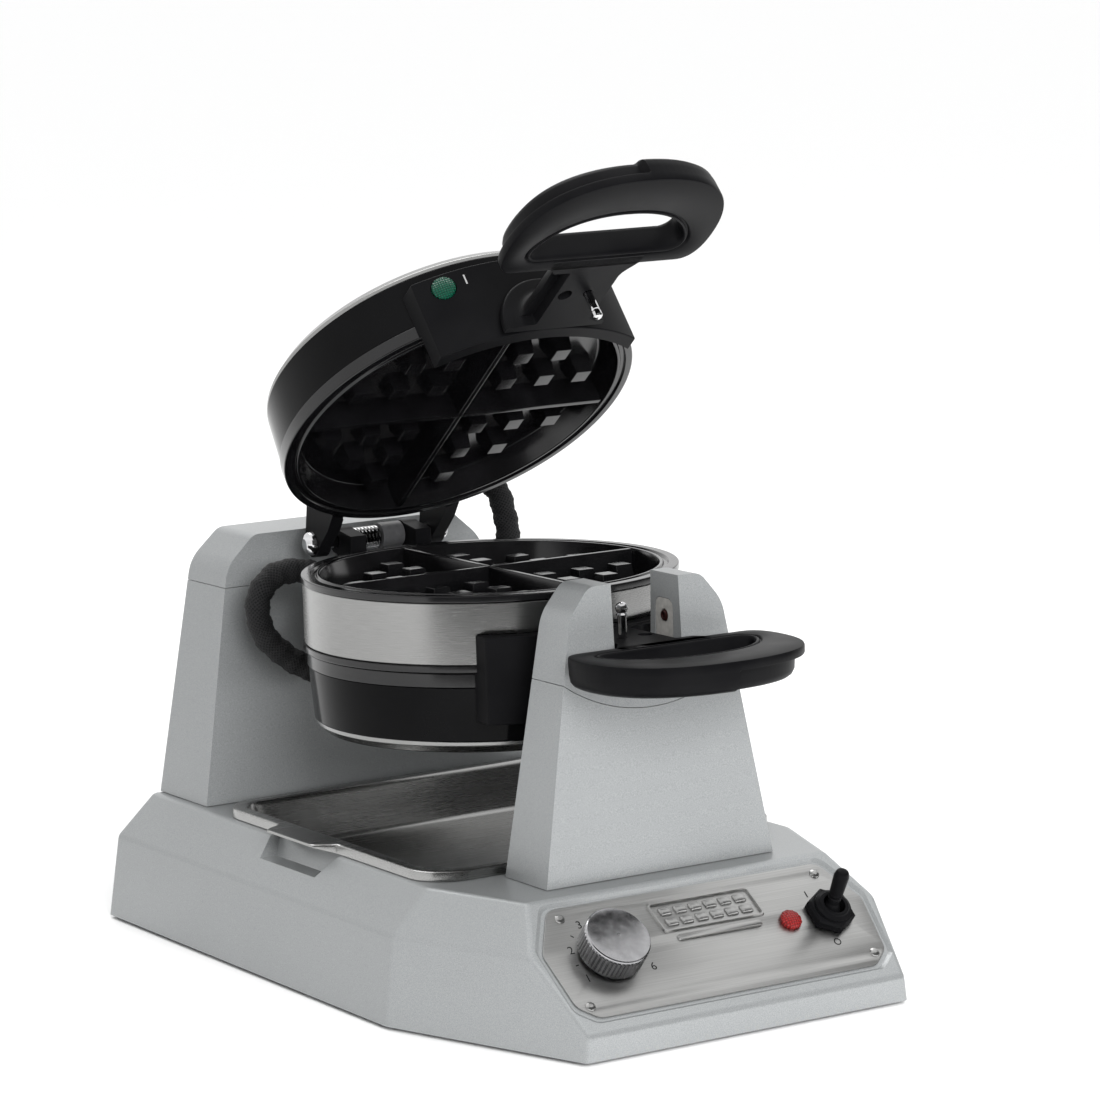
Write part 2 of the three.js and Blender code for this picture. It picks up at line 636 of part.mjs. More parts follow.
function dripTray() {
  const sheetFoot = TRAY_TOP - TRAY_SHEET;
  const floor = TRAY_TOP - TRAY_DEPTH;
  const flange = slab(trayShape(0), sheetFoot, TRAY_TOP, 5);
  const tab = slab(
    roundedRect(-TRAY_HALF_WIDTH - TAB_REACH, -TRAY_HALF_WIDTH + 6, TAB_FRONT_Y, TAB_BACK_Y, 6),
    sheetFoot, TRAY_TOP, 3);
  const skirt = slab(trayShape(0), BASE_TOP + GAP, sheetFoot + 0.1, 5)
    .subtract(slab(trayShape(TRAY_SHEET), BASE_TOP, TRAY_TOP, 5));
  const body = trayBody(0, sheetFoot + 0.1, floor, TRAY_SLOPE);
  const hollow = trayBody(TRAY_SHEET, TRAY_TOP + 1, floor + TRAY_SHEET, TRAY_SLOPE);
  return joined([flange, tab, skirt, body]).subtract(hollow);
}

// ---------------------------------------------------------------- waffle plates
// A plate whose cavity opens upwards at the given rim height, with its cross ribs and pegs.
function wafflePlate(rimRadius, rimTop, rimHeight, bodyRadius) {
  const floorTop = rimTop - CAVITY_DEPTH;
  const floorFoot = floorTop - PLATE_FLOOR;
  const rimFoot = rimTop - rimHeight;
  const dish = turned([
    [0, floorFoot], [bodyRadius, floorFoot], [bodyRadius, rimFoot], [rimRadius, rimFoot],
    [rimRadius, rimTop], [CAVITY_RADIUS + 4.6, rimTop], [CAVITY_RADIUS + 3.6, rimTop - 1.2],
    [CAVITY_RADIUS + 2.2, rimTop - 1.2], [CAVITY_RADIUS + 1.2, rimTop], [CAVITY_RADIUS, rimTop],
    [CAVITY_RADIUS - CAVITY_DRAFT, floorTop], [0, floorTop],
  ]);
  const section = new THREE.Shape([
    [-RIB_FOOT / 2, 0], [RIB_FOOT / 2, 0], [RIB_TOP / 2, CAVITY_DEPTH], [-RIB_TOP / 2, CAVITY_DEPTH],
  ].map(([x, y]) => new THREE.Vector2(x, y)));
  const reach = CAVITY_RADIUS - 0.5;
  const lengthRib = slab(section, -reach, reach).rotate([90, 0, 0]).translate([0, 0, floorTop - 0.02]);
  const crossRib = lengthRib.rotate([0, 0, 90]);
  return joined([dish, lengthRib, crossRib, ...pegs(floorTop)]);
}

function pegs(floorTop) {
  const height = CAVITY_DEPTH - PEG_DROP;
  const rows = [0, 1, 2].map((i) => PEG_FIRST + i * PEG_PITCH);
  const geometry = new THREE.CylinderGeometry(PEG_TOP / Math.SQRT2, PEG_FOOT / Math.SQRT2, height + 1, 4);
  const peg = toSolid(geometry.rotateY(Math.PI / 4).rotateX(Math.PI / 2)).translate([0, 0, height / 2 - 0.5]);
  const solids = [];
  const roomFor = CAVITY_RADIUS - CAVITY_DRAFT - PEG_FOOT / Math.SQRT2;
  rows.forEach((x) => rows.forEach((y) => {
    if (Math.hypot(x, y) > roomFor) return;
    [[x, y], [-x, y], [x, -y], [-x, -y]].forEach(([px, py]) => {
      solids.push(peg.translate([px, py, floorTop]));
    });
  }));
  return solids;
}

function heater(z, tube) {
  const sides = 6;
  const profile = Array.from({ length: sides }, (_, i) => {
    const angle = (i / sides) * Math.PI * 2;
    return [HEATER_RADIUS + tube * Math.cos(angle), z + tube * Math.sin(angle)];
  });
  return turned(profile, 24);
}

// ---------------------------------------------------------------- barrel
const halfTurn = (solid) => solid.rotate([0, 180, 0]);
const BAND_HALF_HEIGHT = RIM_HALF_HEIGHT - RIM_THICKNESS - GAP;
const BODY_RADIUS = BAND_RADIUS - BAND_WALL - GAP;

function barrelBand() {
  return turned([
    [BAND_RADIUS - BAND_WALL, -BAND_HALF_HEIGHT], [BAND_RADIUS, -BAND_HALF_HEIGHT],
    [BAND_RADIUS, BAND_HALF_HEIGHT], [BAND_RADIUS - BAND_WALL, BAND_HALF_HEIGHT],
  ]);
}

// The yoke behind the barrel, which carries both hinge pins and the rear journal.
function hingeYoke() {
  const front = RIM_RADIUS - 8;
  const lugInner = LUG_OUTER - LUG_THICKNESS;
  const plate = box(-YOKE_HALF_WIDTH, YOKE_HALF_WIDTH, front, YOKE_BACK_Y, -YOKE_HALF_HEIGHT, YOKE_HALF_HEIGHT);
  const eyeAt = (rise) => barX(ARM_EYE_RADIUS - 0.5, lugInner, LUG_OUTER).translate([0, HINGE_Y, rise]);
  const lug = eyeAt(HINGE_RISE).add(hull([
    [lugInner, YOKE_BACK_Y - 6, HINGE_RISE + 4], [LUG_OUTER, YOKE_BACK_Y - 6, HINGE_RISE + 4],
    [lugInner, HINGE_Y, HINGE_RISE + 7], [LUG_OUTER, HINGE_Y, HINGE_RISE + 7],
    [lugInner, HINGE_Y + 6, HINGE_RISE - 3], [LUG_OUTER, HINGE_Y + 6, HINGE_RISE - 3],
    [lugInner, YOKE_BACK_Y - 6, 4], [LUG_OUTER, YOKE_BACK_Y - 6, 4],
  ]));
  const lugs = [lug, lug.mirror([1, 0, 0]), halfTurn(lug), halfTurn(lug.mirror([1, 0, 0]))];
  const pinHole = barX(HINGE_PIN_RADIUS + GAP, -60, 60).translate([0, HINGE_Y, HINGE_RISE]);
  const passage = barY(JOURNAL_BORE, front - 5, YOKE_BACK_Y + 5, 24);
  return cut(joined([plate, ...lugs]), [
    turned([[0, -60], [RIM_RADIUS + GAP, -60], [RIM_RADIUS + GAP, 60], [0, 60]]),
    pinHole, halfTurn(pinHole), passage,
  ]);
}

function rearJournal() {
  const front = YOKE_BACK_Y + GAP;
  return barY(JOURNAL_RADIUS, front, JOURNAL_END_Y, 32)
    .subtract(barY(JOURNAL_BORE, front - 5, JOURNAL_END_Y + 5, 24));
}

function journalRing() {
  const front = BEARING_BACK_Y + GAP;
  return barY(JOURNAL_RADIUS + 6, front, front + 5, 24)
    .subtract(barY(JOURNAL_RADIUS + GAP, front - 5, front + 10, 24));
}

function hingePin() {
  const end = ARM_OUTER + GAP;
  const solid = turned([
    [0, -end - HINGE_HEAD_HEIGHT], [HINGE_HEAD_RADIUS * 0.6, -end - HINGE_HEAD_HEIGHT * 0.8],
    [HINGE_HEAD_RADIUS, -end], [HINGE_PIN_RADIUS, -end], [HINGE_PIN_RADIUS, end],
    [HINGE_HEAD_RADIUS, end], [HINGE_HEAD_RADIUS * 0.6, end + HINGE_HEAD_HEIGHT * 0.8],
    [0, end + HINGE_HEAD_HEIGHT],
  ], 20);
  return solid.rotate([0, 90, 0]).translate([0, HINGE_Y, HINGE_RISE]);
}

// A conduit along a chosen route, from the barrel's back to a lid.
function conduit(route) {
  const curve = new THREE.CatmullRomCurve3(route.map((p) => new THREE.Vector3(...p)), false, "centripetal");
  const section = new THREE.Shape();
  section.absarc(0, 0, CONDUIT_RADIUS, 0, Math.PI * 2);
  const geometry = new THREE.ExtrudeGeometry(section, {
    steps: 16, extrudePath: curve, bevelEnabled: false, curveSegments: 5,
  });
  return toSolid(geometry).translate([0, YOKE_BACK_Y, 0]);
}

// Routes are measured from the barrel's axis and the yoke's back face. The upper one ends at its lid's
// open place.
const UPPER_CONDUIT_ROUTE = [
  [YOKE_HALF_WIDTH + GAP, -6, -6], [36, -6, -6], [45, -4, -8], [57, 1, -11.5], [69, 3, -10.5], [79, 4, -4],
  [83, 5, 8], [82, 5, 26], [78, 8, 43], [67, 11, 53], [56, 9, 57], [49, 5, 60],
];
const LOWER_CONDUIT_ROUTE = [
  [-YOKE_HALF_WIDTH - GAP, -6, 6], [-36, -6, 6], [-45, -3, 8], [-57, 2, 11], [-69, 3, 10], [-79, 2, 3],
  [-83, 1, -10], [-79, -1, -24], [-69, -4, -35], [-57, -9, -43], [-48, -16, -47],
];

// ---------------------------------------------------------------- lids
// All of these are the upper lid's pieces when it is shut. The lower lid's are the same, half a turn on.
const LID_RIM_FOOT = RIM_HALF_HEIGHT + GAP;
const LID_RIM_TOP = LID_RIM_FOOT + LID_RIM_HEIGHT;
const lidClearance = () => turned([
  [0, -90], [LID_RIM_RADIUS + GAP, -90], [LID_RIM_RADIUS + GAP, 90], [0, 90],
]);

function lidPlate() {
  const plate = wafflePlate(LID_RIM_RADIUS, -LID_RIM_FOOT, LID_RIM_HEIGHT, LID_BAND_TOP_RADIUS - LID_BAND_WALL - 2);
  return halfTurn(plate);
}

function lidBand() {
  const foot0 = LID_RIM_TOP + GAP;
  const footRadius = LID_RIM_RADIUS - 0.7;
  return turned([
    [footRadius - LID_BAND_WALL, foot0], [footRadius, foot0], [LID_BAND_TOP_RADIUS, LID_BAND_TOP],
    [LID_BAND_TOP_RADIUS - LID_BAND_WALL, LID_BAND_TOP],
  ]);
}

function lidCap() {
  const foot0 = LID_BAND_TOP + GAP;
  const edge = LID_BAND_TOP_RADIUS - 0.5;
  return turned([
    [edge - LID_CAP_WALL, foot0], [edge, foot0], [edge - 1, foot0 + 3], [LID_CAP_RADIUS, LID_HEIGHT],
    [0, LID_HEIGHT], [0, LID_HEIGHT - LID_CAP_WALL], [LID_CAP_RADIUS - 0.8, LID_HEIGHT - LID_CAP_WALL],
    [edge - 1 - LID_CAP_WALL, foot0 + 2.4],
  ]);
}

const lampAngle = Math.asin(BLOCK_LAMP_X / BLOCK_RADIUS);

// Turns a solid made along +Z so that it points out of the block at the lamp.
function atBlockLamp(solid) {
  return solid.rotate([90, 0, 0]).translate([0, -BLOCK_RADIUS, BLOCK_LAMP_Z]).rotate([0, 0, lampAngle / DEG]);
}

function frontBlock() {
  const sector = barZ(BLOCK_RADIUS, GAP / 2, BLOCK_HEIGHT, RING_SEGMENTS).intersect(
    box(-BLOCK_HALF_WIDTH, BLOCK_HALF_WIDTH, -WIDE, BLOCK_BACK_Y, -1, 90));
  return cut(sector, [
    turned([[0, -5], [RIM_RADIUS + 0.5, -5], [RIM_RADIUS + 0.5, LID_RIM_FOOT], [0, LID_RIM_FOOT]]),
    lidClearance(),
    atBlockLamp(barZ(BLOCK_LAMP_RADIUS + GAP, -5, 5, 20)),
  ]);
}

function blockLamp() {
  return atBlockLamp(turned([
    [0, -4.6], [BLOCK_LAMP_RADIUS, -4.6], [BLOCK_LAMP_RADIUS, 0.6], [BLOCK_LAMP_RADIUS * 0.7, 1.8], [0, 2.3],
  ], 20));
}

function handleShape() {
  const shape = new THREE.Shape();
  const corner = 13;
  const shoulder = HANDLE_BACK_Y - 22;
  shape.moveTo(-HANDLE_HALF_WIDTH + corner, HANDLE_BACK_Y);
  shape.quadraticCurveTo(-HANDLE_HALF_WIDTH, HANDLE_BACK_Y, -HANDLE_HALF_WIDTH, shoulder);
  shape.bezierCurveTo(-HANDLE_HALF_WIDTH, HANDLE_FRONT_Y + 14, -34, HANDLE_FRONT_Y, 0, HANDLE_FRONT_Y);
  shape.bezierCurveTo(34, HANDLE_FRONT_Y, HANDLE_HALF_WIDTH, HANDLE_FRONT_Y + 14, HANDLE_HALF_WIDTH, shoulder);
  shape.quadraticCurveTo(HANDLE_HALF_WIDTH, HANDLE_BACK_Y, HANDLE_HALF_WIDTH - corner, HANDLE_BACK_Y);
  const grip = new THREE.Path();
  grip.moveTo(-GRIP_HALF_WIDTH + 8, GRIP_BACK_Y);
  grip.lineTo(GRIP_HALF_WIDTH - 8, GRIP_BACK_Y);
  grip.quadraticCurveTo(GRIP_HALF_WIDTH + 2, GRIP_BACK_Y - 2, GRIP_HALF_WIDTH - 4, GRIP_BACK_Y - 13);
  grip.quadraticCurveTo(GRIP_HALF_WIDTH - 16, GRIP_FRONT_Y, 0, GRIP_FRONT_Y);
  grip.quadraticCurveTo(-GRIP_HALF_WIDTH + 16, GRIP_FRONT_Y, -GRIP_HALF_WIDTH + 4, GRIP_BACK_Y - 13);
  grip.quadraticCurveTo(-GRIP_HALF_WIDTH - 2, GRIP_BACK_Y - 2, -GRIP_HALF_WIDTH + 8, GRIP_BACK_Y);
  shape.holes.push(grip);
  return shape;
}

// The loop, its half-round neck and the collar against the front block, moulded as one piece.
function handle() {
  const foot0 = GAP / 2;
  const loop = slab(handleShape(), foot0, HANDLE_THICKNESS, 7);
  const upperHalf = box(-WIDE, WIDE, -WIDE, WIDE, foot0, WIDE);
  const neckFront = HANDLE_BACK_Y - 4;
  const neckBack = -BLOCK_RADIUS - GAP;
  const neck = barY(NECK_RADIUS, neckFront, neckBack, 32).intersect(upperHalf);
  const collar = barY(COLLAR_RADIUS, neckBack - COLLAR_THICKNESS, neckBack, 32).intersect(upperHalf);
  const pinHole = barZ(LOCK_PIN_HOLE, -5, 40, 12).translate([-LOCK_PIN_X, LOCK_PIN_Y, 0]);
  const ownHole = barZ(LOCK_PIN_RADIUS + GAP, -5, 9, 12).translate([LOCK_PIN_X, LOCK_PIN_Y, 0]);
  return cut(joined([loop, neck, collar]), [pinHole, ownHole]);
}

// The locking pin stands in its own neck and reaches into the hole of the other one.
function lockPin({ head, length }) {
  const tip = -length;
  return turned([
    [0, 8.5], [LOCK_PIN_RADIUS, 8.5], [LOCK_PIN_RADIUS, tip + 5.5], [head, tip + 4],
    [head, tip + 2], [head * 0.6, tip + 0.4], [0, tip],
  ], 14).translate([LOCK_PIN_X, LOCK_PIN_Y, 0]);
}

function hingeArms() {
  const inner = ARM_OUTER - ARM_THICKNESS;
  const front = HINGE_Y - 41;
  const back = HINGE_Y - 19;
  const eye = barX(ARM_EYE_RADIUS, inner, ARM_OUTER).translate([0, HINGE_Y, HINGE_RISE]);
  const web = hull([
    [inner, front, LID_RIM_FOOT + 4], [ARM_OUTER, front, LID_RIM_FOOT + 4],
    [inner, front, 50], [ARM_OUTER, front, 50], [inner, back, 51], [ARM_OUTER, back, 51],
    [inner, HINGE_Y + 5.5, HINGE_RISE + 5.5], [ARM_OUTER, HINGE_Y + 5.5, HINGE_RISE + 5.5],
    [inner, HINGE_Y, HINGE_RISE - 7], [ARM_OUTER, HINGE_Y, HINGE_RISE - 7],
    [inner, RIM_RADIUS + 2, HINGE_RISE - 5], [ARM_OUTER, RIM_RADIUS + 2, HINGE_RISE - 5],
  ]);
  const arm = eye.add(web);
  const bridge = box(-ARM_OUTER, ARM_OUTER, front, back + 1, 34, 50);
  return cut(joined([arm, arm.mirror([1, 0, 0]), bridge]), [
    lidClearance(),
    turned([[0, -5], [RIM_RADIUS + 0.5, -5], [RIM_RADIUS + 0.5, LID_RIM_FOOT + 1], [0, LID_RIM_FOOT + 1]]),
    barX(HINGE_PIN_RADIUS + GAP, -60, 60).translate([0, HINGE_Y, HINGE_RISE]),
  ]);
}

// One lid, turned about its hinge by the given angle.
function lid(which, angle) {
  const pieces = [
    piece(`${which}_lid_cap`, lidCap(), "steel"),
    piece(`${which}_lid_band`, lidBand(), "gloss_black"),
    piece(`${which}_lid_plate`, lidPlate(), "plate_black"),
    piece(`${which}_lid_heater`, heater(LID_RIM_FOOT + CAVITY_DEPTH + PLATE_FLOOR + 4, 3), "zinc"),
    piece(`${which}_front_block`, frontBlock(), "matte_black"),
    piece(`${which}_ready_lamp`, blockLamp(), "green_lens"),
    piece(`${which}_handle`, handle(), "matte_black"),
    piece(`${which}_lock_pin`, lockPin(LOCK_PINS[which]), "chrome"),
    piece(`${which}_hinge_arms`, hingeArms(), "matte_black"),
  ];
  const held = grouped(pieces, [0, -HINGE_Y, -HINGE_RISE]);
  const pivot = grouped([held], [0, HINGE_Y, HINGE_RISE]);
  pivot.rotation.x = -angle;
  const face = grouped([pivot]);
  face.rotation.y = which === "lower" ? Math.PI : 0;
  return face;
}

function barrelPlate() {
  return wafflePlate(RIM_RADIUS, RIM_HALF_HEIGHT, RIM_THICKNESS, BODY_RADIUS);
}

function barrel() {
  return [
    piece("barrel_band", barrelBand(), "steel"),
    piece("barrel_plate_upper", barrelPlate(), "plate_black"),
    piece("barrel_plate_lower", halfTurn(barrelPlate()), "plate_black"),
    piece("barrel_heater", heater(0, 2.3), "zinc"),
    piece("hinge_yoke", hingeYoke(), "matte_black"),
    piece("rear_journal", rearJournal(), "zinc"),
    piece("journal_ring", journalRing(), "zinc"),
    piece("upper_hinge_pin", hingePin(), "chrome"),
    piece("lower_hinge_pin", halfTurn(hingePin()), "chrome"),
    piece("upper_conduit", conduit(UPPER_CONDUIT_ROUTE), "sleeve"),
    piece("lower_conduit", conduit(LOWER_CONDUIT_ROUTE), "sleeve"),
  ];
}

// ---------------------------------------------------------------- the whole object
function standingPieces() {
  return [
    piece("base_housing", baseHousing(), "casting"),
    piece("bottom_plate", bottomPlate(), "zinc"),
    ...feet(),
    piece("cable_gland", cableGland(), "rubber"),
    piece("terminal_block", terminalBlock(), "ceramic"),
    piece("front_tower", frontTower(), "casting"),
    piece("front_saddle", frontSaddle(), "casting"),
    piece("slot_liner_right", slotLiner(1, 0).subtract(linerScrew(1, GAP)), "steel"),
    piece("slot_liner_left", slotLiner(-1, 0).subtract(linerScrew(-1, GAP)), "steel"),
    piece("liner_screw_right", linerScrew(1, 0), "zinc"),
    piece("liner_screw_left", linerScrew(-1, 0), "zinc"),
    piece("rear_tower", rearTower(), "casting"),
    piece("rear_tower_cap", rearTowerCap(), "casting"),
    piece("rear_bearing", rearBearing(), "zinc"),
    piece("control_plate", controlPlate(), "steel"),
    ...rivets(),
    piece("thermostat_body", thermostatBody(), "ceramic"),
    piece("thermostat_shaft", thermostatShaft(), "zinc"),
    piece("thermostat_knob", thermostatKnob(), "chrome"),
    piece("power_lamp", powerLamp(), "red_lens"),
    piece("toggle_body", toggleBody(), "matte_black"),
    piece("toggle_nut", toggleNut(), "matte_black"),
    piece("toggle_lever", toggleLever(), "matte_black"),
    piece("drip_tray", dripTray(), "steel"),
  ];
}

const turning = grouped([...barrel(), lid("upper", LID_OPEN), lid("lower", 0)], [0, 0, AXIS_Z]);
const group = grouped([...standingPieces(), turning], [0, 0, FOOT_STANDOFF]);
const extent = new THREE.Box3().setFromObject(group);
group.position.y = -(extent.min.y + extent.max.y) / 2;

export default group;
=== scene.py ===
"""A double rotating waffle maker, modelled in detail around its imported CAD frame.

Shapes are written in millimetres and placed in metres in the row frame: +Z up, +Y towards the back.
"""
import json
import math

import bmesh
import bpy
from mathutils import Matrix, Vector

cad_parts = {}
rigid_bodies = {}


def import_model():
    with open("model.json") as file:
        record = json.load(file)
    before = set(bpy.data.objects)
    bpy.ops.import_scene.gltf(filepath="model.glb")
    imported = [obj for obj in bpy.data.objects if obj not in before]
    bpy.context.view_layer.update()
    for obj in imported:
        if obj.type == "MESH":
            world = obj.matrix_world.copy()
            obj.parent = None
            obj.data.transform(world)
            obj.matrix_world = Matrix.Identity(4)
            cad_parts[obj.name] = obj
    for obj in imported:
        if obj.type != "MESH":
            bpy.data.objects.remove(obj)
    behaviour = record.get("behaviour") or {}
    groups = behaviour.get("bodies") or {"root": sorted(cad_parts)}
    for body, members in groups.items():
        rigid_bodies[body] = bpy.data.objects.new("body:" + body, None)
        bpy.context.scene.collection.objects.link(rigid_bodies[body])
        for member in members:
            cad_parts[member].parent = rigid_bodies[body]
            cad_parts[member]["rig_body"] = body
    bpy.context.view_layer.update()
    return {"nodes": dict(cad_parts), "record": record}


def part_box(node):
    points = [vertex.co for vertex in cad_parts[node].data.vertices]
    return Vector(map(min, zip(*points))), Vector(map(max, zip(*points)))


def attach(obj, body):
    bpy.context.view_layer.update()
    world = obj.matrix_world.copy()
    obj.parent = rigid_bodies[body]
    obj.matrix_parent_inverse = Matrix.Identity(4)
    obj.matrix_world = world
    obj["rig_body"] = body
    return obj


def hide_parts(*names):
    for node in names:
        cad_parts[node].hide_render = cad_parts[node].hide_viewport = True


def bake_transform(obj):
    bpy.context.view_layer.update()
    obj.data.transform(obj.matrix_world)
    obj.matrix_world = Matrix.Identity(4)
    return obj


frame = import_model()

MM = 0.001
GAP = 0.3
RECORD = frame["record"]
JOINTS = {j["name"]: j for j in RECORD["behaviour"]["joints"]}
SLOT_OF = {s["node"]: s["material_slot"] for s in RECORD["subparts"]}
BODY_OF = {n: b for b, nodes in RECORD["behaviour"]["bodies"].items() for n in nodes}


def at(x, y, z):
    return Matrix.Translation((x, y, z))


def tilt(degrees, axis):
    return Matrix.Rotation(math.radians(degrees), 4, axis)


# Shapes are drawn with Y measured from the barrel's centre, which lies this far along the row's Y.
BARREL_Y = JOINTS["barrel_flip"]["pos_m"][1]
TO_ROW = at(0, BARREL_Y, 0) @ Matrix.Scale(MM, 4)

def drawn(point):
    """A point of the row frame, in the millimetres of the drawing."""
    return list(TO_ROW.inverted() @ Vector(point))


def node_box(node):
    """A CAD node's lowest and highest corners, in millimetres."""
    low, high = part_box(node)
    return drawn(low), drawn(high)


# --- places, in millimetres
AXIS_Z = JOINTS["barrel_flip"]["pos_m"][2] / MM
HINGE_Y = drawn(JOINTS["upper_lid_hinge"]["pos_m"])[1]
HINGE_RISE = JOINTS["upper_lid_hinge"]["pos_m"][2] / MM - AXIS_Z
LID_OPEN = -JOINTS["upper_lid_hinge"]["range_deg"][0]
BASE_LOW, BASE_HIGH = node_box("base_housing")
LIFT = BASE_LOW[2]
BASE_TOP = BASE_HIGH[2]
PANEL_TILT = math.radians(41.5)
LIP_HEIGHT = 13.4

AT_AXIS = at(0, 0, AXIS_Z)
SHUT_TO_OPEN = at(0, HINGE_Y, HINGE_RISE) @ tilt(-LID_OPEN, "X") @ at(0, -HINGE_Y, -HINGE_RISE)
HALF_TURN = tilt(180, "Y")
LID_PLACE = {"upper": AT_AXIS @ SHUT_TO_OPEN, "lower": AT_AXIS @ HALF_TURN}
ON_PANEL = at(0, BASE_LOW[1], LIP_HEIGHT + LIFT) @ Matrix.Rotation(PANEL_TILT, 4, "X")


# --- camera, lights and cards, in metres
AZIMUTH, ELEVATION, ROLL = -31.62, 8.49, -1.94
LOOK_AT, DISTANCE = TO_ROW @ Vector((38.59, 0, 215.87)), 2.3317
SENSOR, LENS = 36, 139.8


def add_camera():
    data = bpy.data.cameras.new("camera")
    data.sensor_width = SENSOR
    data.lens = LENS
    data.clip_end = 100
    camera = bpy.data.objects.new("camera", data)
    camera.matrix_world = (at(*LOOK_AT) @ tilt(AZIMUTH, "Z") @ tilt(90 - ELEVATION, "X") @ tilt(ROLL, "Z")
                           @ at(0, 0, DISTANCE))
    bpy.context.scene.collection.objects.link(camera)
    bpy.context.scene.camera = camera


def aimed(name, data, place, aim, front):
    """An object whose front axis points from its place to the aim."""
    made = bpy.data.objects.new(name, data)
    made.location = place
    made.rotation_euler = (Vector(aim) - Vector(place)).to_track_quat(front, "Y").to_euler()
    bpy.context.scene.collection.objects.link(made)
    return made


def add_light(name, place, aim, size, watts):
    data = bpy.data.lights.new(name, "AREA")
    data.shape = "RECTANGLE"
    data.size, data.size_y = size
    data.energy = watts
    return aimed(name, data, place, aim, "-Z")


def add_card(name, place, aim, size, shade, flag=False):
    """A studio card that is seen only in reflections. A flag isn't, and keeps off soft light instead."""
    bm = bmesh.new()
    bmesh.ops.create_grid(bm, x_segments=1, y_segments=1, size=0.5)
    mesh = bpy.data.meshes.new(name)
    bm.to_mesh(mesh)
    bm.free()
    card = aimed(name, mesh, place, aim, "Z")
    card.scale = (*size, 1)
    card.visible_camera = False
    card.visible_diffuse = flag
    card.visible_glossy = not flag
    card.visible_shadow = False
    made = Finish("card_" + name, base_color=(shade, shade, shade, 1), roughness=1.0)
    mesh.materials.append(made.material)


# --- finishes
class Finish:
    """A node material that grows from a Principled shader."""

    def __init__(self, name, **sockets):
        self.material = bpy.data.materials.new(name)
        self.material.use_nodes = True
        self.tree = self.material.node_tree
        self.shader = self.tree.nodes["Principled BSDF"]
        for key, value in sockets.items():
            self.shader.inputs[key.replace("_", " ").title().replace("Ior", "IOR")].default_value = value

    def node(self, kind, inputs=(), **settings):
        made = self.tree.nodes.new(kind)
        for key, value in settings.items():
            setattr(made, key, value)
        for key, value in dict(inputs).items():
            if isinstance(value, bpy.types.NodeSocket):
                self.tree.links.new(value, made.inputs[key])
            else:
                made.inputs[key].default_value = value
        return made

    def coords(self, scale=(1, 1, 1), output="Object"):
        source = self.node("ShaderNodeTexCoord")
        return self.node("ShaderNodeMapping", {"Vector": source.outputs[output], "Scale": scale}).outputs[0]

    def around(self, turn_scale, along_scale):
        """Coordinates that run round the Z axis of the object, for grain on turned pieces."""
        source = self.node("ShaderNodeTexCoord")
        split = self.node("ShaderNodeSeparateXYZ", {0: source.outputs["Object"]})
        angle = self.math("ARCTAN2", split.outputs["Y"], split.outputs["X"])
        around = self.math("MULTIPLY", angle, turn_scale)
        along = self.math("MULTIPLY", split.outputs["Z"], along_scale)
        return self.node("ShaderNodeCombineXYZ", {"X": around, "Y": along}).outputs[0]

    def math(self, operation, first, second):
        return self.node("ShaderNodeMath", {0: first, 1: second}, operation=operation).outputs[0]

    def noise(self, vector, scale, detail=2.0, roughness=0.5):
        return self.node("ShaderNodeTexNoise", {
            "Vector": vector, "Scale": scale, "Detail": detail, "Roughness": roughness}).outputs["Fac"]

    def spread(self, value, low, high, start=0.3, stop=0.7):
        """Maps a texture's middle range to a range of numbers."""
        return self.node("ShaderNodeMapRange", {
            "Value": value, "From Min": start, "From Max": stop, "To Min": low, "To Max": high}).outputs[0]

    def tones(self, value, dark, light, start=0.3, stop=0.7):
        ramp = self.node("ShaderNodeValToRGB", {"Fac": value})
        ramp.color_ramp.elements[0].position = start
        ramp.color_ramp.elements[0].color = (*dark, 1)
        ramp.color_ramp.elements[1].position = stop
        ramp.color_ramp.elements[1].color = (*light, 1)
        return ramp.outputs["Color"]

    def drive(self, socket, value):
        self.tree.links.new(value, self.shader.inputs[socket])
        return self

    def relief(self, height, strength, distance):
        normal = self.shader.inputs["Normal"]
        inputs = {"Height": height, "Strength": strength, "Distance": distance * MM}
        if normal.is_linked:
            inputs["Normal"] = normal.links[0].from_socket
        bump = self.node("ShaderNodeBump", inputs)
        return self.drive("Normal", bump.outputs["Normal"])


def casting_paint():
    made = Finish("silver_paint", metallic=0.45, coat_weight=0.2, coat_roughness=0.25, specular_ior_level=0.4)
    flakes = made.noise(made.coords(), 2400, 2, 0.6)
    clouds = made.noise(made.coords(), 9, 3)
    made.drive("Base Color", made.tones(flakes, (0.24, 0.251, 0.255), (0.36, 0.371, 0.375)))
    made.drive("Roughness", made.spread(clouds, 0.32, 0.42))
    return made.relief(made.noise(made.coords(), 700, 3, 0.55), 0.4, 0.12)


def brushed_steel(name, vector_of, shade, roughness, anisotropy, contrast):
    made = Finish(name, metallic=1.0, anisotropic=anisotropy)
    grain = made.noise(vector_of(made), 1.0, 3, 0.6)
    clouds = made.noise(made.coords(), 14, 3)
    dark, light = shade * (1 - contrast), shade * (1 + contrast)
    made.drive("Base Color", made.tones(grain, (dark, dark, dark * 0.985), (light, light, light * 0.985)))
    mixed = made.math("ADD", grain, clouds)
    made.drive("Roughness", made.spread(mixed, roughness - 0.05, roughness + 0.06, 0.6, 1.4))
    return made.relief(grain, 0.05, 0.015)


def black(name, shine, tones, cloud_scale, roughness, grain_scale, relief):
    """A black skin whose shade and roughness drift, over a fine grain."""
    made = Finish(name, specular_ior_level=shine)
    clouds = made.noise(made.coords(), cloud_scale, 4)
    made.drive("Base Color", made.tones(clouds, *tones))
    made.drive("Roughness", made.spread(clouds, *roughness))
    return made.relief(made.noise(made.coords(), grain_scale, 2), *relief)


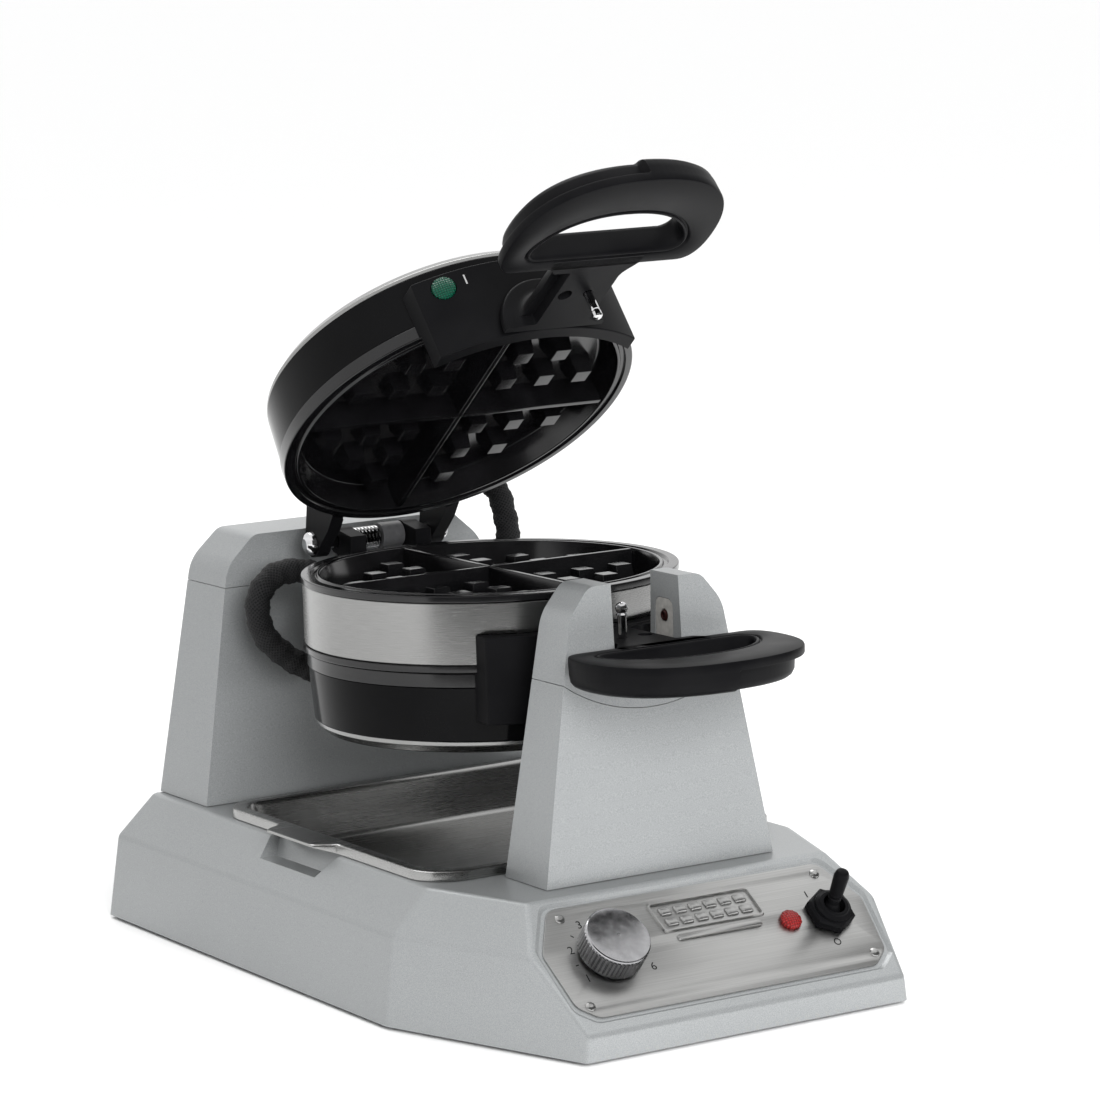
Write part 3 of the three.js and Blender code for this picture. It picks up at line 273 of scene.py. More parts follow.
def braided_sleeve():
    made = Finish("braided_sleeve", roughness=0.7, specular_ior_level=0.3)
    strands = []
    for sign in (1, -1):
        turned = made.node("ShaderNodeMapping", {
            "Vector": made.coords(output="UV"), "Rotation": (0, 0, sign * math.radians(45))}).outputs[0]
        strands.append(made.node("ShaderNodeTexWave", {
            "Vector": turned, "Scale": 0.22, "Distortion": 0.8, "Detail": 1.0}).outputs["Fac"])
    weave_with_painted_shade = made.math("MAXIMUM", *strands)
    # Painted light: the strands' colour is lighter along their crowns, a painted sheen, and darker in the
    # grooves between them, painted shade. The same weave also drives the bump.
    made.drive("Base Color", made.tones(weave_with_painted_shade, (0.0015, 0.0015, 0.002), (0.014, 0.014, 0.0145), 0.3, 1.0))
    return made.relief(weave_with_painted_shade, 0.8, 0.5)


def plain(name, color, roughness, grain=400, depth=0.1, **sockets):
    """Small parts: a shade that varies slightly, with a fine surface."""
    made = Finish(name, **sockets)
    texture = made.noise(made.coords(), grain, 3)
    dark, light = [v * 0.85 for v in color], [min(1, v * 1.12) for v in color]
    made.drive("Base Color", made.tones(texture, dark, light))
    made.drive("Roughness", made.spread(texture, roughness * 0.85, roughness * 1.15))
    return made.relief(texture, 0.15, depth)


def lens(name, color):
    """A moulded lens with small facets on its UV grid, each facet painted lighter in its middle and darker at
    its edges.
    """
    made = Finish(name, roughness=0.22, specular_ior_level=0.25)
    facets = made.node("ShaderNodeTexVoronoi", {
        "Vector": made.coords(output="UV"), "Scale": 0.75, "Randomness": 0.1},
        feature="F1", distance="CHEBYCHEV").outputs["Distance"]
    # Painted light: each facet's colour is lighter in its middle, a painted highlight, and darker towards its
    # edges, painted shade between the facets.
    middle, edge = [min(1, v * 1.6) for v in color], [v * 0.25 for v in color]
    made.drive("Base Color", made.tones(facets, middle, edge, 0.1, 0.62))
    return made.relief(facets, 0.8, 0.7)


def across_x(made):
    return made.coords((14, 2600, 2600))


def round_axis(made):
    return made.around(9, 3400)


FINISHES = {
    "casting": casting_paint(),
    "steel": brushed_steel("steel_turned", round_axis, 0.3, 0.25, 0.4, 0.12),
    "panel_steel": brushed_steel("steel_panel", across_x, 0.5, 0.34, 0.3, 0.12),
    "tray_steel": brushed_steel("steel_tray", across_x, 0.36, 0.25, 0.2, 0.08),
    "chrome": plain("chrome", (0.66, 0.66, 0.67), 0.06, 200, 0.02, metallic=1.0),
    "knob": plain("knob_chrome", (0.42, 0.42, 0.43), 0.2, 200, 0.01, metallic=1.0),
    "liner": plain("liner_steel", (0.42, 0.41, 0.39), 0.45, metallic=0.35),
    "gloss_black": black("gloss_black", 0.08, ((0.001, 0.001, 0.0012), (0.0025, 0.0025, 0.0028)),
                         22, (0.07, 0.13), 60, (0.03, 0.15)),
    "matte_black": black("moulded_black", 0.06, ((0.003, 0.003, 0.0035), (0.0055, 0.0055, 0.006)),
                         30, (0.38, 0.46), 1900, (0.2, 0.05)),
    "plate_black": black("non_stick", 0.5, ((0.002, 0.002, 0.0022), (0.0045, 0.0045, 0.005)),
                         45, (0.13, 0.2), 1500, (0.1, 0.03)),
    "rubber": plain("rubber", (0.01, 0.01, 0.01), 0.8, specular_ior_level=0.2),
    "red_lens": lens("red_lens", (0.16, 0.012, 0.012)),
    "green_lens": lens("green_lens", (0.002, 0.042, 0.024)),
    "sleeve": braided_sleeve(),
    "ceramic": plain("ceramic", (0.7, 0.66, 0.56), 0.6),
    "zinc": plain("zinc", (0.4, 0.41, 0.42), 0.4, metallic=0.9),
    "ink": plain("black_ink", (0.008, 0.008, 0.008), 0.5, specular_ior_level=0.2),
    "white_ink": plain("pale_ink", (0.35, 0.35, 0.35), 0.5),
    "grey_sleeve": plain("grey_sleeve", (0.05, 0.05, 0.052), 0.4),
    "spring_steel": plain("spring_steel", (0.5, 0.5, 0.5), 0.2, metallic=1.0),
    "screw": plain("browned_screw", (0.03, 0.009, 0.008), 0.35, metallic=0.6),
}


# --- mesh helpers, in millimetres
def as_object(name, bm, place=Matrix.Identity(4)):
    """An object from a mesh in millimetres, placed in the row frame."""
    bmesh.ops.recalc_face_normals(bm, faces=bm.faces)
    mesh = bpy.data.meshes.new(name)
    bm.to_mesh(mesh)
    bm.free()
    made = bpy.data.objects.new(name, mesh)
    bpy.context.scene.collection.objects.link(made)
    mesh.transform(Matrix.Scale(MM, 4))
    made.matrix_world = at(0, BARREL_Y, 0) @ in_metres(place)
    return made


def in_metres(place):
    return Matrix.Scale(MM, 4) @ place @ Matrix.Scale(1 / MM, 4)


def as_mesh(made):
    """Takes a piece apart again: its mesh in the drawing's millimetres."""
    bm = bmesh.new()
    bm.from_mesh(made.data)
    moved(bm, TO_ROW.inverted() @ made.matrix_world)
    bpy.data.objects.remove(made)
    return bm


def settle(made):
    """Applies the modifiers."""
    graph = bpy.context.evaluated_depsgraph_get()
    mesh = bpy.data.meshes.new_from_object(made.evaluated_get(graph), depsgraph=graph)
    made.modifiers.clear()
    made.data = mesh
    return made


def hull(points):
    bm = bmesh.new()
    verts = [bm.verts.new(p) for p in points]
    bmesh.ops.convex_hull(bm, input=verts)
    bmesh.ops.delete(bm, geom=[v for v in bm.verts if not v.link_faces], context="VERTS")
    bmesh.ops.dissolve_limit(bm, angle_limit=math.radians(1), verts=bm.verts, edges=bm.edges)
    return bm


def block(x0, x1, y0, y1, z0, z1):
    return hull([(x, y, z) for x in (x0, x1) for y in (y0, y1) for z in (z0, z1)])


def turned(profile, segments=160, ripple=None):
    """A profile of (radius, height) turned about Z. It starts and ends on the axis, or closes.

    ripple(ring, angle) may add to a ring's radius.
    """
    angles = [2 * math.pi * step / segments for step in range(segments)]
    loops = []
    for ring, (radius, z) in enumerate(profile):
        reach = [radius + (ripple(ring, a) if ripple else 0) for a in angles]
        loops.append([(r * math.cos(a), r * math.sin(a), z) for r, a in zip(reach, angles)]
                     if radius > 1e-6 else [(0, 0, z)])
    return lofted(loops, closed=len(loops[0]) > 1, caps=False)


def rounded(points, closed=True, steps=4):
    """A polygon with its corners rounded. A point is (a, b) or (a, b, radius)."""
    path = []
    count = len(points)
    for i, point in enumerate(points):
        here = Vector(point[:2])
        radius = point[2] if len(point) > 2 else 0
        if radius == 0 or (not closed and i in (0, count - 1)):
            path.append(tuple(here))
            continue
        before = Vector(points[i - 1][:2]) - here
        after = Vector(points[(i + 1) % count][:2]) - here
        half = before.angle(after) / 2
        reach = min(radius / math.tan(half), before.length * 0.49, after.length * 0.49)
        start, stop = here + before.normalized() * reach, here + after.normalized() * reach
        for step in range(steps + 1):
            t = step / steps
            path.append(tuple(start * (1 - t) ** 2 + here * 2 * t * (1 - t) + stop * t * t))
    return path


def lathe(profile, segments, steps=4, ripple=None):
    """An open profile, with its corners rounded, turned about Z."""
    return turned(rounded(profile, closed=False, steps=steps), segments, ripple)


def prism(outline, low, high):
    """A flat outline (x, y) carried from one height to another. It may be concave."""
    return lofted([[(x, y, z) for x, y in outline] for z in (low, high)])


def lofted(loops, closed=False, caps=True):
    """Skins loops of equal length, or of a single point. closed joins the last loop to the first."""
    bm = bmesh.new()
    rings = [[bm.verts.new(p) for p in loop] for loop in loops]
    count = max(len(ring) for ring in rings)
    for low, high in list(zip(rings, rings[1:])) + ([(rings[-1], rings[0])] if closed else []):
        for i in range(count):
            j = (i + 1) % count
            sides = [ring[k % len(ring)] for ring, k in ((low, i), (low, j), (high, j), (high, i))]
            corners = dict.fromkeys(sides)
            if len(corners) > 2:
                bm.faces.new(list(corners))
    if caps and not closed:
        bm.faces.new(rings[0])
        bm.faces.new(rings[-1])
    return bm


def added(*meshes):
    """Several meshes in one."""
    whole = bmesh.new()
    for bm in meshes:
        mesh = bpy.data.meshes.new("part")
        bmesh.ops.recalc_face_normals(bm, faces=bm.faces)
        bm.to_mesh(mesh)
        bm.free()
        whole.from_mesh(mesh)
        bpy.data.meshes.remove(mesh)
    return whole


def moved(bm, matrix):
    bmesh.ops.transform(bm, matrix=matrix, verts=bm.verts)
    return bm


def carve(made, *tools, operation="DIFFERENCE"):
    """Cuts each tool, a mesh in the drawing's millimetres, from the piece."""
    cutters = [as_object("tool", bm) for bm in tools]
    for cutter in cutters:
        step = made.modifiers.new("carve", "BOOLEAN")
        step.operation = operation
        step.solver = "EXACT"
        step.object = cutter
    settle(made)
    for cutter in cutters:
        bpy.data.objects.remove(cutter)
    return made


def soften(made, width, segments=3, angle=30):
    step = made.modifiers.new("soften", "BEVEL")
    step.width = width * MM
    step.segments = segments
    step.limit_method = "ANGLE"
    step.angle_limit = math.radians(angle)
    step.miter_outer = "MITER_ARC"
    return settle(made)


def present(made, finish, *nodes, body=None, slot=None, angle=38, weighted=True):
    """Shades the piece, gives it its finish and lets it stand for its CAD nodes."""
    mesh = made.data
    mesh.materials.clear()
    mesh.materials.append(FINISHES[finish].material)
    mesh.polygons.foreach_set("use_smooth", [True] * len(mesh.polygons))
    mesh.set_sharp_from_angle(angle=math.radians(angle))
    if weighted:
        step = made.modifiers.new("weigh", "WEIGHTED_NORMAL")
        step.keep_sharp = True
        settle(made)
    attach(made, body or BODY_OF[nodes[0]])
    if nodes:
        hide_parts(*nodes)
    return made


def piece(node, bm, finish, place=Matrix.Identity(4), **look):
    """A mesh that stands for one CAD node."""
    return present(as_object(node + "_fine", bm, place), finish, node, **look)


def refined(node, width, finish=None, segments=3, angle=30):
    """A CAD node's own shape with softened edges."""
    bm = bmesh.new()
    bm.from_mesh(frame["nodes"][node].data)
    bmesh.ops.remove_doubles(bm, verts=bm.verts, dist=1e-6)
    bmesh.ops.dissolve_limit(bm, angle_limit=math.radians(0.5), verts=bm.verts, edges=bm.edges)
    moved(bm, TO_ROW.inverted())
    made = as_object(node + "_fine", bm)
    soften(made, width, segments, angle)
    return present(made, finish or SLOT_OF[node], node)


def flat_curve(name, outlines, low, high, rim=0.0):
    """A sheet with holes: the first outline is the edge, the others are holes. rim rounds its edges."""
    data = bpy.data.curves.new(name, "CURVE")
    data.dimensions = "2D"
    data.fill_mode = "BOTH"
    data.extrude = (high - low) / 2 - rim
    data.bevel_depth = rim
    data.bevel_resolution = 2
    data.offset = -rim
    for outline in outlines:
        spline = data.splines.new("POLY")
        spline.points.add(len(outline) - 1)
        for point, (x, y) in zip(spline.points, outline):
            point.co = (x, y, 0, 1)
        spline.use_cyclic_u = True
    return curve_mesh(data, at(0, 0, (low + high) / 2))


def curve_mesh(data, matrix=Matrix.Identity(4)):
    """The mesh of a curve or text."""
    holder = bpy.data.objects.new("curve", data)
    bpy.context.scene.collection.objects.link(holder)
    graph = bpy.context.evaluated_depsgraph_get()
    mesh = bpy.data.meshes.new_from_object(holder.evaluated_get(graph), depsgraph=graph)
    bpy.data.objects.remove(holder)
    bm = bmesh.new()
    bm.from_mesh(mesh)
    bpy.data.meshes.remove(mesh)
    bmesh.ops.remove_doubles(bm, verts=bm.verts, dist=1e-4)
    return moved(bm, matrix)


def digit(text, size, thickness=0.06):
    data = bpy.data.curves.new("digit", "FONT")
    data.body = text
    data.size = size
    data.extrude = thickness / 2
    data.align_x = "CENTER"
    data.align_y = "CENTER"
    return curve_mesh(data)


def circle(x, y, radius, count=40):
    return [(x + radius * math.cos(2 * math.pi * i / count), y + radius * math.sin(2 * math.pi * i / count))
            for i in range(count)]


def quadratic(a, b, c, count=12):
    return [tuple(Vector(a) * (1 - t) ** 2 + Vector(b) * 2 * t * (1 - t) + Vector(c) * t * t)
            for t in (i / count for i in range(count))]


def cubic(a, b, c, d, count=24):
    weights = [((1 - t) ** 3, 3 * t * (1 - t) ** 2, 3 * t * t * (1 - t), t ** 3)
               for t in (i / count for i in range(count))]
    return [tuple(sum((Vector(p) * w for p, w in zip((a, b, c, d), row)), Vector((0, 0)))) for row in weights]


def bar(axis, radius, start, stop, segments=64, edge=0.0):
    """A round bar along X, Y or Z with rounded end edges."""
    turn = {"X": tilt(90, "Y"), "Y": tilt(-90, "X"), "Z": Matrix.Identity(4)}[axis]
    return moved(lathe([(0, start), (radius, start, edge), (radius, stop, edge), (0, stop)], segments), turn)


def slab(low, high):
    """Everything between two heights."""
    return block(-FAR, FAR, -FAR, FAR, low, high)


add_camera()


# --- base housing
BASE_HALF, BASE_FRONT_HALF = BASE_HIGH[0], 97.6
FRONT_Y, BACK_Y, CORNER_Y = BASE_LOW[1], BASE_HIGH[1], -114.5
SIDE_TOP, DRAFT, BEVEL_RUN, BACK_BEVEL, WALL = 46.5, 5.2, 22.3, 8, 3.5
TRAY = {"half": 110, "front": -115, "back": 121, "corner": 24, "flange": 9,
        "top": node_box("drip_tray")[1][2]}
TAB = {"reach": 12, "front": -14, "back": 47}
PANEL_OUTLINE = [(82.5, 77), (97.5, 51), (94, 18), (84, 9.5)]
PANEL_RECESS, PLATE_THICK = 1.5, 0.9
PLATE_FACE = GAP - PANEL_RECESS + PLATE_THICK
CONTROL_ROW, KNOB_X, LAMP_X, TOGGLE_X = 45, -62, 49, 73
RIVETS = {"upper_right": (78, 70.5), "upper_left": (-78, 70.5), "lower_right": (86.5, 17),
          "lower_left": (-86.5, 17)}
PANEL_HOLES = [(KNOB_X, CONTROL_ROW, 4), (LAMP_X, CONTROL_ROW, 4.9), (TOGGLE_X, CONTROL_ROW, 5.4)]
FAR = 400
DROP = 10  # how far a blank runs on below its foot before it is cut flat


def base_corners(inset):
    """The housing's corners, moved in by the inset: foot, lip, shoulder and top, each in left-right pairs."""
    top, slope = BASE_TOP - LIFT - inset, math.tan(PANEL_TILT)
    run = (BASE_HALF - BASE_FRONT_HALF) / (CORNER_Y - FRONT_Y)

    def panel_y(z):
        return FRONT_Y + inset / math.sin(PANEL_TILT) + (z - LIP_HEIGHT) / slope

    def half_at(y, lean):
        return min(BASE_HALF - lean, BASE_FRONT_HALF - lean + (y - FRONT_Y) * run) - inset

    points = []

    def pair(half, y, z):
        points.extend([(half, y, z + LIFT), (-half, y, z + LIFT)])

    def ring(z, lean, front, back):
        pair(half_at(front, lean), front, z)
        pair(half_at(CORNER_Y, lean), CORNER_Y, z)
        pair(BASE_HALF - lean - inset, back, z)

    lip_z = LIP_HEIGHT - inset * (1 - math.cos(PANEL_TILT)) / math.sin(PANEL_TILT)
    ring(0, 0, FRONT_Y + inset, BACK_Y - inset)
    pair(half_at(FRONT_Y + inset, DRAFT * LIP_HEIGHT / SIDE_TOP), FRONT_Y + inset, lip_z)
    ring(SIDE_TOP, DRAFT, panel_y(SIDE_TOP), BACK_Y - DRAFT - inset)
    ring(top, DRAFT + BEVEL_RUN, panel_y(top), BACK_Y - BACK_BEVEL - inset)
    return points


def round_rect(x0, x1, y0, y1, radius, corner_steps=10, side_steps=1):
    """Points of a rounded rectangle, the same number whatever its size."""
    centres = [(x1 - radius, y0 + radius), (x1 - radius, y1 - radius), (x0 + radius, y1 - radius),
               (x0 + radius, y0 + radius)]
    arcs = []
    for (x, y), start in zip(centres, (-90, 0, 90, 180)):
        angles = [math.radians(start + 90 * s / corner_steps) for s in range(corner_steps + 1)]
        arcs.append([(x + radius * math.cos(a), y + radius * math.sin(a)) for a in angles])
    points = []
    for arc, after in zip(arcs, arcs[1:] + arcs[:1]):
        here, ahead = Vector(arc[-1]), Vector(after[0])
        points += arc + [tuple(here.lerp(ahead, s / side_steps)) for s in range(1, side_steps)]
    return points


def panel_outline(margin, radius=9.0):
    corners = PANEL_OUTLINE + [(-x, y) for x, y in reversed(PANEL_OUTLINE)]
    middle = (PANEL_OUTLINE[0][1] + PANEL_OUTLINE[-1][1]) / 2
    grown = [(x + math.copysign(margin, x), y + math.copysign(margin, y - middle), radius)
             for x, y in corners]
    return rounded(grown, steps=8)


def base_blank():
    """The housing's skin with rounded edges, cut flat at the bottom."""
    corners = [Vector(p) for p in base_corners(0)]
    above_foot = {0: 6, 1: 7, 2: 10, 3: 11, 4: 12, 5: 13}
    for low, high in above_foot.items():
        corners[low] += (corners[low] - corners[high]) * (DROP / (corners[high].z - corners[low].z))
    made = soften(as_object("base_housing_fine", hull(corners)), 2.2, 4, 8)
    return carve(made, slab(-30, LIFT))


def base_housing():
    made = base_blank()
    ledge = TRAY["flange"] - 2
    well_x, well_front, well_back = TRAY["half"] - ledge, TRAY["front"] + ledge, TRAY["back"] - ledge
    scoop_floor = BASE_TOP - 11
    tab_x = -(TRAY["half"] + TAB["reach"])
    y0, y1 = TAB["front"] - 6, TAB["back"] + 6
    scoop = hull([(tab_x + dx, y, z) for dx, ya, yb, z in (
        (-30, y0 - 2, y1 + 2, BASE_TOP + 2), (17, y0 - 2, y1 + 2, BASE_TOP + 2),
        (-30, y0 + 6, y1 - 6, scoop_floor), (9, y0 + 6, y1 - 6, scoop_floor)) for y in (ya, yb)])
    loops = [[(x, y, z) for x, y in panel_outline(margin)]
             for margin, z in ((1.6, -PANEL_RECESS), (3.2, 0), (8, 5))]
    holes = [moved(bar("Z", r + 0.6, -12, 4, 32), ON_PANEL @ at(x, y, 0)) for x, y, r in PANEL_HOLES]
    gland = moved(bar("Y", 8.8, BACK_Y - 20, BACK_Y + 5), at(-70, 0, 24 + LIFT))
    floor = [(x, y, z - 1 if z < LIFT + 1 else z) for x, y, z in base_corners(WALL)]
    lining = block(-BASE_HALF, -well_x, y0 - WALL, y1 + WALL, scoop_floor - WALL, BASE_TOP)
    hollow = carve(as_object("hollow", hull(floor)), lining)
    well = prism(round_rect(-well_x, well_x, well_front, well_back, 19), BASE_TOP - 30, BASE_TOP + 5)
    carve(made, as_mesh(hollow), moved(lofted(loops), ON_PANEL), well, scoop, gland, *holes)
    soften(made, 0.7, 2, 32)
    present(made, "casting", "base_housing")


# --- towers
FRONT_TOWER = {"foot": (69.6, -161.6, -121.1), "shoulder": (46.6, -154.5, -127.1, 206),
               "top": (34, -153.6, -127.8, 221.5)}
REAR_TOWER = {"foot": (107.5, 138.9, 196.1), "shoulder": (83, 148.8, 193.6, 202.7),
              "top": (64.5, 150, 193, 219.5)}
SEAM_RADIUS, SEAM_DEPTH, SLOT_HALF = 90, 35, 20.5
SHOULDER_ROUNDING, BEARING_BORE = 24, 17.3


def tower_hull(tower, inset, foot_z, rounding=0.0):
    """A tower's skin or hollow. rounding is the radius of its shoulders."""
    levels = [(*tower["foot"], foot_z), (*tower["shoulder"][:3], tower["shoulder"][3] - inset * 0.5),
              (*tower["top"][:3], tower["top"][3] - inset)]
    corners = [(levels[0][0], foot_z), (levels[1][0], levels[1][3], rounding),
               (levels[2][0], levels[2][3], rounding * 0.4), (0, levels[2][3])]
    outline = rounded(corners, closed=False, steps=7)
    points = []
    for half, z in outline[:-1]:
        low, high = (levels[0], levels[1]) if z < levels[1][3] else (levels[1], levels[2])
        share = (z - low[3]) / (high[3] - low[3])
        front, back = (low[i] + (high[i] - low[i]) * share for i in (1, 2))
        points.extend((x, y, z) for x in (half - inset, inset - half) for y in (front + inset, back - inset))
    return hull(points)


def tower_block(name, tower, radius):
    """A tower's skin with rounded edges, cut flat at the foot."""
    foot_z = BASE_TOP + GAP
    share = DROP / (tower["shoulder"][3] - foot_z)
    foot = tuple(a + (a - b) * share for a, b in zip(tower["foot"], tower["shoulder"]))
    skin = tower_hull({**tower, "foot": foot}, 0, foot_z - DROP, SHOULDER_ROUNDING)
    made = soften(as_object(name, skin), radius, 4, 12)
    return carve(made, slab(foot_z - 2 * DROP, foot_z))


def seam_round(radius):
    return moved(bar("Y", radius, -175, -110, 256), at(0, 0, AXIS_Z - SEAM_DEPTH + SEAM_RADIUS))


def front_tower():
    seam_mid = AXIS_Z - SEAM_DEPTH + SEAM_RADIUS / 2
    made = tower_block("front_tower_fine", FRONT_TOWER, 2.2)
    hollow = carve(as_object("hollow", tower_hull(FRONT_TOWER, WALL, BASE_TOP - 1)),
                   slab(AXIS_Z - SEAM_DEPTH - WALL, FAR))
    carve(made, as_mesh(hollow), seam_round(SEAM_RADIUS), slab(seam_mid, FAR))
    soften(made, 0.35, 2, 32)
    present(made, "casting", "front_tower")

    made = tower_block("front_saddle_fine", FRONT_TOWER, 2.2)
    keep = carve(as_object("keep", seam_round(SEAM_RADIUS - GAP)), slab(seam_mid, FAR), operation="UNION")
    carve(made, as_mesh(keep), operation="INTERSECT")
    slot = [(SLOT_HALF * math.cos(a), SLOT_HALF * math.sin(a))
            for a in (math.pi + math.pi * i / 48 for i in range(49))] + [(SLOT_HALF, 90), (-SLOT_HALF, 90)]
    carve(made, moved(prism(slot, -175, -110), AT_AXIS @ tilt(90, "X") @ Matrix.Scale(-1, 4, (0, 0, 1))))
    soften(made, 1.5, 3, 40)
    pockets = [moved(liner_outline(0.35), at(side * SLOT_HALF, 0, 0)) for side in (1, -1)]
    screws = [moved(bar("X", 3.4, -9, 9), at(side * (SLOT_HALF + 2), *LINER_SCREW)) for side in (1, -1)]
    carve(made, *pockets, *screws)
    present(made, "casting", "front_saddle")


LINER_LOW, LINER_HIGH = node_box("slot_liner_right")
LINER_SCREW = [sum(ends) / 2 for ends in zip(*node_box("liner_screw_right"))][1:]


def liner_outline(grow, thickness=3.4):
    """The liner's outline carried along X: square at the foot, rounded at the top."""
    y0, y1 = LINER_LOW[1] - grow, LINER_HIGH[1] + grow
    z0, z1 = LINER_LOW[2] - grow, LINER_HIGH[2] + grow
    outline = rounded([(y0, z0), (y1, z0), (y1, z1, 5 + grow), (y0, z1, 5 + grow)], steps=12)
    return moved(prism(outline, -thickness / 2, thickness / 2),
                 Matrix(((0, 0, 1, 0), (1, 0, 0, 0), (0, 1, 0, 0), (0, 0, 0, 1))))


def slot_liners():
    for side, name in ((1, "right"), (-1, "left")):
        x = side * (SLOT_HALF + 0.75)
        made = as_object(f"slot_liner_{name}_fine", moved(liner_outline(0, 1.4), at(x, 0, 0)))
        carve(made, moved(bar("X", 3.4, -5, 5), at(x, *LINER_SCREW)))
        soften(made, 0.3, 2)
        present(made, "liner", f"slot_liner_{name}")
        screw = lathe([(0, -8.5), (2.9, -8.5), (2.9, 0.2, 0.6), (2.2, 0.6, 0.3), (1.5, 0.5, 0.2),
                       (1.3, -0.5), (0, -0.5)], 48)
        place = at(side * SLOT_HALF, *LINER_SCREW) @ tilt(-side * 90, "Y")
        piece(f"liner_screw_{name}", moved(screw, place), "screw")


def rear_tower():
    for node, cut in (("rear_tower", (AXIS_Z, FAR)), ("rear_tower_cap", (-FAR, AXIS_Z + GAP))):
        made = tower_block(node + "_fine", REAR_TOWER, 3)
        bore = moved(bar("Y", BEARING_BORE, 118, 166, 96), AT_AXIS)
        carve(made, tower_hull(REAR_TOWER, WALL, BASE_TOP - 1), slab(*cut), bore)
        soften(made, 0.4, 2, 32)
        present(made, "casting", node)


# --- drip tray
def drip_tray():
    top, foot, reach = TRAY["top"], BASE_TOP + GAP + 0.1, TAB["reach"]

    def loop(inset, z, tab=0.0, tab_z=None):
        points = []
        for x, y in round_rect(-TRAY["half"] + inset, TRAY["half"] - inset, TRAY["front"] + inset,
                               TRAY["back"] - inset, max(TRAY["corner"] - inset, 7), 12, side_steps=60):
            rise = min(max((y - TAB["front"] + 3) / 9, 0), 1) * min(max((TAB["back"] + 3 - y) / 9, 0), 1)
            share = rise * rise * (3 - 2 * rise) if x < -TRAY["half"] + inset + 0.5 else 0
            height = z if tab_z is None else z + (tab_z - z) * share
            points.append((x - tab * share, y, height))
        return points

    flange = [loop(0, foot, reach, top - 1.1), loop(0, top - 1.3, reach, top - 0.9),
              loop(0.25, top - 0.5, reach, top - 0.4), loop(1.0, top, reach), loop(2.2, top, reach)]
    dish = [(4, 0), (6.4, 0), (7.8, 0.35), (8.8, 1.3), (9.4, 3), (13, 14), (16.4, 24), (17.2, 25.4),
            (18.6, 26.4), (21, 26.8), (26, 26.8), (45, 26.9), (70, 27), (95, 27)]
    loops = flange + [loop(inset, top - depth) for inset, depth in dish]
    bm = lofted(loops, caps=False)
    bm.verts.ensure_lookup_table()
    bm.faces.new(bm.verts[-len(loops[0]):])
    made = as_object("drip_tray_fine", bm)
    if sum(p.normal.z * p.area for p in made.data.polygons) < 0:
        made.data.flip_normals()
    step = made.modifiers.new("sheet", "SOLIDIFY")
    step.thickness = 1.0 * MM
    step.offset = -1
    settle(made)
    present(made, "tray_steel", "drip_tray", weighted=False)


# --- control panel
def controls():
    outlines = [panel_outline(0)] + [circle(x, y, r) for x, y, r in PANEL_HOLES]
    outlines += [circle(x, y, 1.7, 24) for x, y in RIVETS.values()]
    sheet = flat_curve("plate", outlines, PLATE_FACE - PLATE_THICK, PLATE_FACE, 0.2)
    piece("control_plate", added(sheet, plaque()), "panel_steel", ON_PANEL, weighted=False)
    for name, (x, y) in RIVETS.items():
        head = [(0, -7), (1.4, -7), (1.4, 0.02), (2.8, 0.02), (2.5, 0.7, 0.8), (1.3, 1.35, 1), (0, 1.45)]
        rivet = lathe([(r, z if z < 0 else PLATE_FACE + z, *radius) for r, z, *radius in head], 48)
        piece(f"plate_rivet_{name}", rivet, "panel_steel", ON_PANEL @ at(x, y, 0))
    knob()
    power_lamp()
    toggle()
    panel_marks()


def plaque():
    """A generic raised badge: a slanted frame around a small waffle grid, with a bar below it."""
    x0, x1, y0, y1 = -26, 36, 45, 70
    low, high = PLATE_FACE - 0.2, PLATE_FACE + 1.3

    def slanted(points, lean=0.12):
        return [(x - (y - y0) * lean + 1.5, y) for x, y in points]

    def ridge(points):
        middle = Vector((sum(p[0] for p in points) / len(points), sum(p[1] for p in points) / len(points)))
        return lofted([[(*(Vector(p) - (Vector(p) - middle).normalized() * shrink), z) for p in points]
                       for shrink, z in ((0, low), (0, PLATE_FACE), (0.5, high - 0.3), (1.0, high))])

    outside = slanted(round_rect(x0, x1, y0 + 6, y1, 2, 4))
    inside = slanted(round_rect(x0 + 1.8, x1 - 1.8, y0 + 7.8, y1 - 1.8, 1.2, 4))
    border = [[(*Vector(a).lerp(Vector(b), share), z) for a, b in zip(outside, inside)] for share, z in (
        (0, low), (0, PLATE_FACE), (0.3, high), (0.7, high), (1, PLATE_FACE), (1, low))]
    parts = [lofted(border, closed=True)]
    for column in range(6):
        for row in range(2):
            cx, cy = x0 + 8.2 + column * 9.1, y0 + 11.9 + row * 6.9
            parts.append(ridge(slanted(round_rect(cx - 3.5, cx + 3.5, cy - 2.5, cy + 2.5, 0.9, 3))))
    parts.append(ridge(slanted(round_rect(x0 + 5, x1 - 5, y0 + 0.2, y0 + 3.6, 1.5, 5))))
    return added(*parts)


def knob():
    foot, top = PLATE_FACE + 1.6, PLATE_FACE + 16.1
    profile = [(0, foot), (15.5, foot), (16.6, foot + 0.4), (17.1, foot + 1.2), (17.1, top - 2.2),
               (16.6, top - 1.7), (17.2, top - 1.5), (17.35, top - 1.1), (17.1, top - 0.5), (16.6, top - 0.1),
               (15.8, top), (12, top + 0.02), (6, top + 0.04), (0.9, top + 0.05), (0.5, top - 0.25),
               (0, top - 0.3)]
    fluted, flutes = (3, 4), 48

    def ripple(ring, angle):
        return 1.1 * abs(math.cos(angle * flutes / 2)) ** 0.6 - 0.7 if ring in fluted else 0

    place = ON_PANEL @ at(KNOB_X, CONTROL_ROW, 0)
    made = as_object("thermostat_knob_fine", turned(profile, flutes * 11, ripple), place)
    carve(made, moved(bar("Z", 3.3, foot - 2, top - 4), place))
    present(made, "knob", "thermostat_knob", angle=28, weighted=False)


